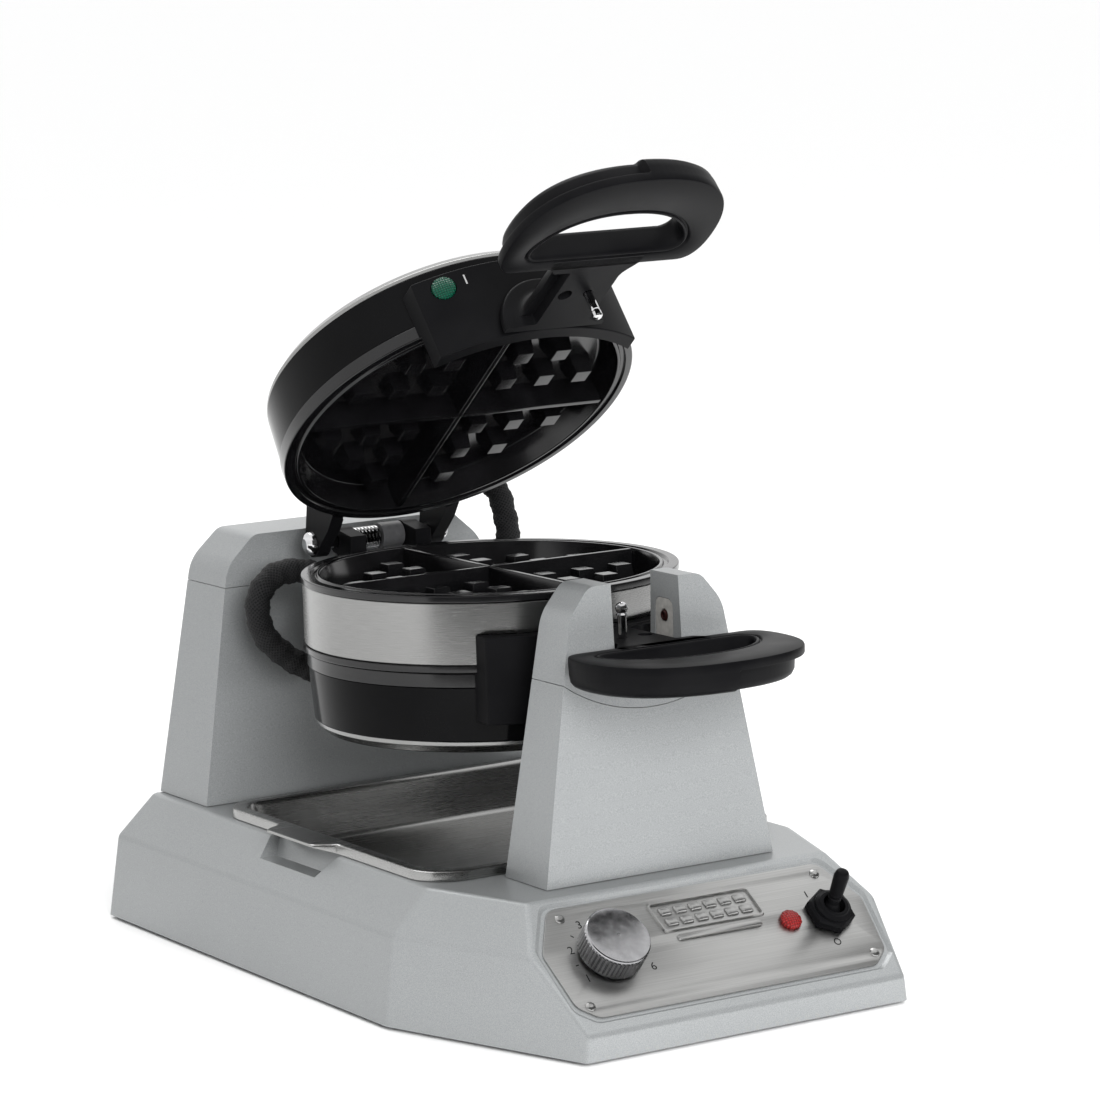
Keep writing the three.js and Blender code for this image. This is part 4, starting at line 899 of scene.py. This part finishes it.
def lens_piece(node, bm, finish, place):
    """A lens, with flat UVs across it in millimetres."""
    made = as_object(node + "_fine", bm, place)
    layer = made.data.uv_layers.new(name="facets")
    for corner in made.data.loops:
        point = made.data.vertices[corner.vertex_index].co / MM
        layer.data[corner.index].uv = (point.x, point.y)
    present(made, finish, node, weighted=False)


def power_lamp():
    """A lens with a fluted rim and a domed middle."""
    radius, depth, flutes = 5.8, -15, 12
    profile = [(0, depth), (radius * 0.78, depth), (radius * 0.78, 0.1), (radius, 0.1), (radius, 1.6, 0.5),
               (radius * 0.86, 2.6, 0.4), (radius * 0.5, 3.5, 1), (0, 3.9)]

    def ripple(ring, angle):
        return 0.18 * math.cos(angle * flutes) if ring > 3 else 0

    lens_piece("power_lamp", lathe(profile, flutes * 4, 3, ripple), "red_lens",
               ON_PANEL @ at(LAMP_X, CONTROL_ROW, PLATE_FACE))


def toggle():
    seat, place, reach = PLATE_FACE + GAP, ON_PANEL @ at(TOGGLE_X, CONTROL_ROW, 0), 13.0
    profile = [(6.0, 0), (reach, 0), (reach, 3.8), (12.2, 4.7), (10.8, 5.0), (9.6, 5.2), (10.0, 6.0),
               (9.8, 6.9), (8.6, 7.5), (8.1, 7.8), (7.8, 8.3), (7.0, 8.5), (6.0, 8.4)]

    def hexagon(ring, angle):
        """Draws the rings of the nut's base in to six flats."""
        off_flat = (angle + math.pi / 6) % (math.pi / 3) - math.pi / 6
        return reach * (0.885 / math.cos(off_flat) - 1) if 1 <= ring <= 3 else 0

    nut = turned([(radius, seat + z) for radius, z in profile], 96, hexagon)
    piece("toggle_nut", nut, "matte_black", place)
    lever = lathe([(0, -5), (3.5, -3.5, 2), (5, 0, 3), (3.9, 3.6, 2), (3.3, 5.2, 1), (3.5, 8, 1),
                   (3.2, 9, 0.5), (3.6, 10, 0.5), (4.1, 22, 2), (3.2, 25.2, 1.8), (0, 26)], 64, 5)
    piece("toggle_lever", lever, "matte_black", place @ at(0, 0, 3) @ tilt(-14, "X"))


DIAL_NUMBERS = [(1, -79.6, 33.2), (2, -80.9, 50.9), (3, -69.2, 64.9), (4, -54, 66.5), (5, -41.5, 56),
                (6, -40.8, 33.2)]
INK = 0.06


def panel_marks():
    """Numbers round the dial, and plain on and off signs at the switch."""
    parts = [moved(digit(str(number), 6.6), at(x, y, PLATE_FACE + 0.03)) for number, x, y in DIAL_NUMBERS]
    for (_, x0, y0), (_, x1, y1) in zip(DIAL_NUMBERS, DIAL_NUMBERS[1:]):
        out = Vector(((x0 + x1) / 2 - KNOB_X, (y0 + y1) / 2 - CONTROL_ROW))
        spot = Vector((KNOB_X, CONTROL_ROW)) + out.normalized() * 20
        parts.append(moved(block(-1, 1, -0.3, 0.3, 0, INK),
                           at(*spot, PLATE_FACE) @ Matrix.Rotation(math.atan2(out.y, out.x), 4, "Z")))
    parts.append(moved(block(-0.35, 0.35, -1.9, 1.9, 0, INK), at(66.5, 59, PLATE_FACE)))
    off_sign = flat_curve("off", [circle(0, 0, 2.1), circle(0, 0, 1.5)], 0, INK)
    parts.append(moved(off_sign, at(69, 27.5, PLATE_FACE)))
    made = as_object("panel_marks", added(*parts), ON_PANEL)
    present(made, "ink", body="stand", slot="matte_black", weighted=False)


# --- waffle plates
RIM_RADIUS, RIM_HALF, RIM_THICK, CAVITY_RADIUS, CAVITY_DEPTH = 102.5, 20.3, 3.6, 92, 14.5
LID_RIM_RADIUS, LID_RIM_FOOT, LID_RIM_HEIGHT = 101, 20.6, 7.6
PEG_PLACES = [(x, y) for x in (21.5, 45.5, 69.5) for y in (21.5, 45.5, 69.5) if math.hypot(x, y) < 77]


def softened(bm, width, segments=2):
    """Rounds the sharp edges of a small mesh."""
    edges = [e for e in bm.edges if len(e.link_faces) == 2 and e.calc_face_angle() > math.radians(25)]
    bmesh.ops.bevel(bm, geom=edges, offset=width, segments=segments, profile=0.5, affect="EDGES",
                    clamp_overlap=True)
    return bm


def waffle_plate(rim_radius, rim_top, rim_height, body_radius):
    """One casting whose cavity opens upwards: a dish with a grooved rim, two cross ribs and pegs."""
    floor = rim_top - CAVITY_DEPTH
    c = CAVITY_RADIUS
    dish = lathe([
        (0, floor - 3), (body_radius, floor - 3, 1), (body_radius, rim_top - rim_height),
        (rim_radius, rim_top - rim_height, 0.5), (rim_radius, rim_top, 0.8), (c + 5.0, rim_top, 0.5),
        (c + 4.2, rim_top - 1.3, 0.4), (c + 2.3, rim_top - 1.3, 0.4), (c + 1.5, rim_top, 0.4),
        (c + 0.1, rim_top, 0.6), (c - 4.6, floor, 2.6), (0, floor)], 192, 3)
    ribs = []
    for turn in (0, math.pi / 2):
        rib = hull([(x, y, z) for y in (-c + 1.6, c - 1.6) for x, z in (
            (-4, floor - 1), (4, floor - 1), (-1.5, rim_top), (1.5, rim_top))])
        ribs.append(moved(softened(rib, 0.45), Matrix.Rotation(turn, 4, "Z")))
    pegs = []
    for x, y in PEG_PLACES:
        for px, py in ((x, y), (-x, y), (x, -y), (-x, -y)):
            peg = hull([(px + a * h, py + b * h, z) for a in (1, -1) for b in (1, -1)
                        for h, z in ((6.6, floor - 0.6), (4.75, rim_top - 3.8))])
            pegs.append(softened(peg, 0.4))
    return added(dish, *ribs, *pegs)


# --- barrel
def barrel():
    half = RIM_HALF - RIM_THICK - GAP
    r = 101.7
    band = turned(rounded([(r - 1.2, -half), (r - 0.35, -half, 0.3), (r, -half + 0.6, 0.3),
                           (r, half - 0.6, 0.3), (r - 0.35, half, 0.3), (r - 1.2, half)]), 256)
    piece("barrel_band", band, "steel", AT_AXIS)
    pin = [(0, -46.2), (3.2, -45.8, 2.5), (6.2, -43.6, 3), (6.9, -41.3), (4, -41.3), (4, 41.3), (6.9, 41.3),
           (6.2, 43.6, 3), (3.2, 45.8, 2.5), (0, 46.2)]
    sleeve = rounded([(4.3, 1.5), (7.2, 1.5, 0.4), (7.2, 15.4, 0.4), (4.3, 15.4)])
    for which, turn in (("upper", Matrix.Identity(4)), ("lower", HALF_TURN)):
        plate = waffle_plate(RIM_RADIUS, RIM_HALF, RIM_THICK, r - 1.5)
        piece(f"barrel_plate_{which}", plate, "plate_black", AT_AXIS @ turn)
        place = AT_AXIS @ turn @ at(0, HINGE_Y, HINGE_RISE) @ tilt(90, "Y")
        piece(f"{which}_hinge_pin", lathe(pin, 64, 6), "chrome", place)
        made = as_object(f"{which}_hinge_sleeve", turned(sleeve, 64), place)
        present(made, "grey_sleeve", body="barrel", slot="matte_black")
        made = as_object(f"{which}_hinge_spring", spring(5.4, 0.75, -15, 0.6, 7), place)
        present(made, "spring_steel", body="barrel", slot="chrome", weighted=False)
    refined("hinge_yoke", 0.9)
    for node in ("rear_journal", "journal_ring", "rear_bearing"):
        refined(node, 0.5, segments=2, angle=50)


def swept(points, radius_at, sides=24):
    """A round tube along points. radius_at(distance, angle) gives its radius."""
    path = [Vector(p) for p in points]
    ahead = [(path[min(i + 1, len(path) - 1)] - path[max(i - 1, 0)]).normalized() for i in range(len(path))]
    side = ahead[0].orthogonal().normalized()
    distance, loops = 0.0, []
    for i, (point, direction) in enumerate(zip(path, ahead)):
        if i:
            distance += (point - path[i - 1]).length
        side = (side - direction * side.dot(direction)).normalized()
        other = direction.cross(side)
        loops.append([tuple(point + (side * math.cos(a) + other * math.sin(a)) * radius_at(distance, a))
                      for a in (2 * math.pi * k / sides for k in range(sides))])
    return lofted(loops)


def spring(radius, wire, start, stop, turns):
    steps = turns * 20
    points = [(radius * math.cos(2 * math.pi * turns * i / steps),
               radius * math.sin(2 * math.pi * turns * i / steps), start + (stop - start) * i / steps)
              for i in range(steps + 1)]
    return swept(points, lambda distance, angle: wire, 10)


# Routes of the conduits, measured from the barrel's axis.
CONDUIT_ROUTES = {
    "upper": [(30.3, 107, -6), (36, 107, -6), (45, 109, -8), (57, 114, -11.5), (69, 116, -10.5),
              (79, 117, -4), (83, 118, 8), (82, 118, 26), (78, 121, 43), (67, 124, 53), (56, 122, 57),
              (49, 118, 60)],
    "lower": [(-30.3, 107, 6), (-36, 107, 6), (-45, 110, 8), (-57, 115, 11), (-69, 116, 10), (-79, 115, 3),
              (-83, 114, -10), (-79, 112, -24), (-69, 109, -35), (-57, 104, -43), (-48, 97, -47)],
}


def smooth_route(route, steps=14):
    """A centripetal Catmull-Rom line through the route's points."""
    points = [Vector(p) for p in route]
    points = [2 * points[0] - points[1], *points, 2 * points[-1] - points[-2]]
    line = []
    for i in range(len(points) - 3):
        group, knots = points[i:i + 4], [0.0]
        for a, b in zip(group, group[1:]):
            knots.append(knots[-1] + (b - a).length ** 0.5)
        for s in range(steps):
            t = knots[1] + (knots[2] - knots[1]) * s / steps
            first = [a.lerp(b, (t - k) / (m - k)) for a, b, k, m in zip(group, group[1:], knots, knots[1:])]
            second = [a.lerp(b, (t - k) / (m - k)) for a, b, k, m in zip(first, first[1:], knots, knots[2:])]
            line.append(second[0].lerp(second[1], s / steps))
    return [*line, points[-2]]


def sleeve_radius(distance, angle):
    """A braided sleeve's radius: slightly lumpy along and around."""
    return (6.9 + 0.35 * math.sin(distance * 0.62 + 0.7 * math.sin(angle)) + 0.2 * math.sin(distance * 1.7)
            + 0.15 * math.sin(angle * 3 + distance * 0.3))


def sleeve_uv(made, line, sides, girth=38):
    """UVs in millimetres, round and along a sleeve that was swept down the line."""
    layer = made.data.uv_layers.new(name="weave")
    lengths = [0.0]
    for a, b in zip(line, line[1:]):
        lengths.append(lengths[-1] + (b - a).length)
    for face in made.data.polygons:
        corners = [made.data.loops[i].vertex_index for i in face.loop_indices]
        wrap = len(corners) == 4 and {0, sides - 1} <= {v % sides for v in corners}
        for i, v in zip(face.loop_indices, corners):
            turn = v % sides + (sides if wrap and v % sides == 0 else 0)
            layer.data[i].uv = (turn / sides * girth, lengths[v // sides])


def conduits():
    sides = 32
    for which, route in CONDUIT_ROUTES.items():
        line = smooth_route(route)
        made = as_object(f"{which}_conduit_fine", swept(line, sleeve_radius, sides), AT_AXIS)
        sleeve_uv(made, line, sides)
        present(made, "sleeve", f"{which}_conduit", body="barrel", weighted=False)
        if which == "upper":
            bpy.context.view_layer.update()
            made.parent = None
            del made["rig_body"]
            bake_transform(made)


# --- lids
BAND_TOP, CAP_TOP, BAND_TOP_RADIUS = 57.3, 65, 98
BLOCK_RADIUS, BLOCK_HALF, BLOCK_HEIGHT = 111, 60, 46.5
BLOCK_LAMP_X, BLOCK_LAMP_Z, BLOCK_LAMP_RADIUS = -46.6, 38, 6.6
NUMBER_X, NUMBER_Z = 35.5, 39
HANDLE_BACK, HANDLE_FRONT, HANDLE_HALF, HANDLE_THICK = -166, -240, 62, 16.6
LOCK_X, LOCK_Y = 7, -142


def lid_cap(which, place):
    edge, foot = BAND_TOP_RADIUS - 0.5, BAND_TOP + GAP
    outer = rounded([(edge - 1.2, foot), (edge, foot, 0.3), (edge - 0.3, foot + 2.2, 1.5),
                     (92.6, CAP_TOP - 0.9, 3), (87, CAP_TOP, 3), (0, CAP_TOP)], closed=False, steps=6)
    inner = [(0, CAP_TOP - 1.2), (87, CAP_TOP - 1.2), (91.6, CAP_TOP - 2.2), (edge - 1.6, foot + 1.8),
             (edge - 1.2, foot)]
    piece(f"{which}_lid_cap", turned(outer[1:] + inner, 256), "steel", place)


def front_block(which, place):
    def ring(radius, z0, z1):
        return bar("Z", radius, z0, z1, 256)

    made = as_object(f"{which}_front_block_fine", ring(BLOCK_RADIUS, 0.15, BLOCK_HEIGHT))
    carve(made, block(-BLOCK_HALF, BLOCK_HALF, -200, -60, -5, 90), operation="INTERSECT")
    soften(made, 1.6, 3, 35)
    angle = math.asin(BLOCK_LAMP_X / BLOCK_RADIUS)
    lamp_place = Matrix.Rotation(angle, 4, "Z") @ at(0, -BLOCK_RADIUS, BLOCK_LAMP_Z) @ tilt(90, "X")
    carve(made, ring(LID_RIM_RADIUS + GAP, -90, 90), ring(RIM_RADIUS + 0.5, -5, LID_RIM_FOOT),
          moved(bar("Z", BLOCK_LAMP_RADIUS + GAP, -5, 5, 64), lamp_place))
    made.matrix_world = made.matrix_world @ in_metres(place)
    present(made, "matte_black", f"{which}_front_block")
    lamp_edge = BLOCK_LAMP_RADIUS - 0.1
    dome = [(0, -4.6), (lamp_edge, -4.6), (lamp_edge, 0.5, 0.4), (5.6, 1.3, 0.5), (3, 1.9, 1), (0, 2.1)]
    lens_piece(f"{which}_ready_lamp", lathe(dome, 64, 3), "green_lens", place @ lamp_place)
    number = moved(digit("1" if which == "upper" else "2", 8.5, 0.1), tilt(90, "X"))
    if which == "lower":
        moved(number, tilt(180, "Y"))
    for vert in number.verts:
        turn = (vert.co.x - NUMBER_X) / BLOCK_RADIUS
        reach = BLOCK_RADIUS + 0.04 - vert.co.y
        vert.co = (reach * math.sin(turn), -reach * math.cos(turn), vert.co.z + NUMBER_Z)
    present(as_object(f"{which}_block_number", number, place), "white_ink", body=f"{which}_lid",
            slot="matte_black", weighted=False)


def handle_outlines():
    """The loop's edge and its grip hole, met by the same rays from the grip's middle."""
    back, front, half = HANDLE_BACK, HANDLE_FRONT, HANDLE_HALF
    right = quadratic((half - 13, back), (half, back), (half, back - 22))
    right += cubic((half, back - 22), (half, front + 14), (34, front), (0, front))
    outer = right + [(-x, y) for x, y in reversed(right)]
    hole = quadratic((39, -176.5), (49, -178.5), (43, -189.5))
    hole += quadratic((43, -189.5), (31, -210), (0, -210), 20)
    hole += [(-x, y) for x, y in reversed(hole)]
    middle = Vector((0, -192))

    def cross(a, b):
        return a.x * b.y - a.y * b.x

    def meet(outline, direction):
        """Where the ray from the grip's middle leaves the outline."""
        farthest = 0
        for start, stop in zip(outline, outline[1:] + outline[:1]):
            a = Vector(start) - middle
            edge = Vector(stop) - middle - a
            facing = cross(direction, edge)
            if abs(facing) > 1e-9 and -1e-6 <= cross(a, direction) / facing <= 1 + 1e-6:
                farthest = max(farthest, cross(a, edge) / facing)
        return middle + direction * farthest

    rays = [Vector((math.cos(a), math.sin(a))) for a in (2 * math.pi * i / 320 for i in range(320))]
    return [meet(outer, d) for d in rays], [meet(hole, d) for d in rays]


def normals(outline, side):
    """The unit normals of a closed outline, to its left (1) or its right (-1)."""
    found = []
    for before, after in zip(outline[-1:] + outline[:-1], outline[1:] + outline[:1]):
        along = (after - before).normalized()
        found.append(Vector((-along.y, along.x)) * side)
    return found


def handle(which, place):
    outer, hole = handle_outlines()
    low, high = 0.15, HANDLE_THICK
    full = [(1.2, low), (0.35, low + 0.25), (0, low + 1.0), (0.05, 4.6), (0.1, 5.2), (0.15, 5.8), (0.25, 9),
            (0.9, 13), (2.6, 15), (5.2, 16.3), (8.6, high)]
    stepped = [(1.2, low), (0.35, low + 0.25), (0, low + 1.0), (0, 4.4), (0.35, 5.1), (4.6, 5.4), (5.1, 7.5),
               (5.4, 12.6), (6.6, 15), (8.4, 16.3), (10.6, high)]
    inner = [(4.2, high), (1.8, 16.2), (0.5, 15.2), (0, 13.6), (0, 3.0), (0.2, 1.4), (0.7, 0.5), (1.3, 0.3),
             (1.9, 0.5), (2.3, 1.3), (3.0, 1.4), (3.5, 0.6), (4.2, low)]
    loops = []
    for (a, za), (b, zb) in zip(full, stepped):
        loop = []
        for point, normal in zip(outer, normals(outer, 1)):
            on_loop = point.y < HANDLE_BACK - 25 or abs(point.x) > 50
            share = min(max((-point.x + 1) / 1.6, 0), 1) if on_loop else 0
            share = share * share * (3 - 2 * share)
            at_neck = abs(point.x) < 26.5 and point.y > HANDLE_BACK - 1 and za < 2
            spot = point + normal * (0 if at_neck else a + (b - a) * share)
            loop.append((spot.x, spot.y, za + (zb - za) * share))
        loops.append(loop)
    loops += [[(*(point + normal * inset), z) for point, normal in zip(hole, normals(hole, -1))]
              for inset, z in inner]
    whole = added(lofted(loops, closed=True), neck())
    piece(f"{which}_handle", whole, "matte_black", place, weighted=False, angle=45)


def neck():
    """The half-round neck, flared where it meets the loop, and the collar on the front block."""
    sections = [(-173, 27, 14.5), (-167.5, 27, 15.5), (-164.5, 25, 17), (-161.5, 22.4, 18.4),
                (-158.5, 20.3, 19.2), (-155.5, 19.4, 19.3), (-140, 19.3, 19.3), (-125.5, 19.3, 19.3),
                (-119, 19.3, 19.3)]
    collar = [(-117, 20.2), (-115.8, 22), (-115.3, 24), (-115.3, 28.6), (-115.0, 29.6), (-114.3, 30),
              (-111.3, 30)]
    sections += [(y, radius, radius) for y, radius in collar]
    floor = 0.15
    loops = []
    for y, half, rise in sections:
        arc = [(half * math.cos(a), y, floor + (rise - floor) * math.sin(a))
               for a in (math.pi * i / 40 for i in range(41))]
        loops.append(arc + [(-half + 2 * half * i / 12, y, floor) for i in range(1, 12)])
    notch = prism(round_rect(-24, -12.7, -162, -116.5, 1.5, 4), -5, 6)
    own = moved(bar("Z", 2.7, -5, 9, 32), at(LOCK_X, LOCK_Y, 0))
    other = moved(bar("Z", 4.0, -5, 40, 32), at(-LOCK_X, LOCK_Y, 0))
    return as_mesh(carve(as_object("neck", lofted(loops)), notch, own, other))


def lid(which):
    place = LID_PLACE[which]
    foot = LID_RIM_FOOT + LID_RIM_HEIGHT + GAP
    r0, r1 = LID_RIM_RADIUS - 0.7, BAND_TOP_RADIUS
    band = turned(rounded([(r0 - 2, foot), (r0, foot, 0.4), (r1, BAND_TOP, 0.4), (r1 - 2, BAND_TOP)]), 256)
    piece(f"{which}_lid_band", band, "gloss_black", place)
    lid_cap(which, place)
    plate = waffle_plate(LID_RIM_RADIUS, -LID_RIM_FOOT, LID_RIM_HEIGHT, BAND_TOP_RADIUS - 4)
    piece(f"{which}_lid_plate", plate, "plate_black", place @ HALF_TURN)
    front_block(which, place)
    handle(which, place)
    if which == "upper":
        pin = lathe([(0, 8.5), (2.4, 8.5), (2.4, -10.5, 0.2), (1.9, -10.9, 0.2), (2.6, -11.8, 0.6),
                     (2.6, -14.6, 1.2), (1.4, -15.8, 0.8), (0, -16)], 48, 5)
    else:
        radius, angles = 3.3, [math.radians(d) for d in range(135, 0, -9)]
        ball = [(radius * math.sin(a), -15.2 - radius * math.cos(a)) for a in angles]
        shaft = [(0, 8.5), (2.4, 8.5), (2.4, -11.0), (2.9, -11.2), (3.0, -11.8), (2.6, -12.4)]
        pin = turned(shaft + ball + [(0, -18.5)], 48)
    piece(f"{which}_lock_pin", pin, "chrome", place @ at(LOCK_X, LOCK_Y, 0))
    refined(f"{which}_hinge_arms", 0.9)


# --- the whole object
base_housing()
front_tower()
slot_liners()
rear_tower()
drip_tray()
controls()
barrel()
conduits()
lid("upper")
lid("lower")
for foot_place in ("front_left", "front_right", "rear_left", "rear_right"):
    refined(f"rubber_foot_{foot_place}", 0.4, segments=2, angle=50)
refined("cable_gland", 0.4, segments=2, angle=50)
refined("bottom_plate", 0.3, segments=2)
for name, carried in frame["nodes"].items():
    carried.data.materials.clear()
    carried.data.materials.append(FINISHES[SLOT_OF[name]].material)

# --- studio
floor_mesh = bmesh.new()
bmesh.ops.create_grid(floor_mesh, x_segments=1, y_segments=1, size=30000)
floor = as_object("floor", floor_mesh)
floor_finish = Finish("floor", roughness=0.8, specular_ior_level=0.1)
floor_clouds = floor_finish.noise(floor_finish.coords(), 3, 2)
floor_finish.drive("Base Color", floor_finish.tones(floor_clouds, (0.96, 0.96, 0.96), (0.962, 0.962, 0.962)))
floor.data.materials.append(floor_finish.material)
world = bpy.data.worlds.new("studio")
bpy.context.scene.world = world
world.use_nodes = True
world.node_tree.nodes["Background"].inputs["Color"].default_value = (1, 1, 1, 1)
world.node_tree.nodes["Background"].inputs["Strength"].default_value = 1.03
bpy.context.scene.view_settings.view_transform = "Standard"
MIDDLE = (0, 0, 0.2)
key = add_light("key", (-0.75, -2.7, 1.1), MIDDLE, (1.4, 1.4), 106)
key.visible_glossy = False
add_light("top", (0.3, 1.4, 2.3), MIDDLE, (1.6, 1.2), 22)
add_card("right", (1.3, -0.75, 0.7), (0, 0, 0.7), (1.9, 1.5), 0.02)
add_card("front", (0.15, -1.45, 0.7), (0, 0, 0.7), (1.3, 1.5), 0.03)
add_card("camera_side", (-0.5, -0.82, 0.35), (0, 0, 0.35), (1.4, 1.2), 0.03)
add_card("left", (-0.62, 0.35, 0.45), (0, 0.35, 0.45), (1.3, 1.1), 0.03, flag=True)

bpy.context.view_layer.update()
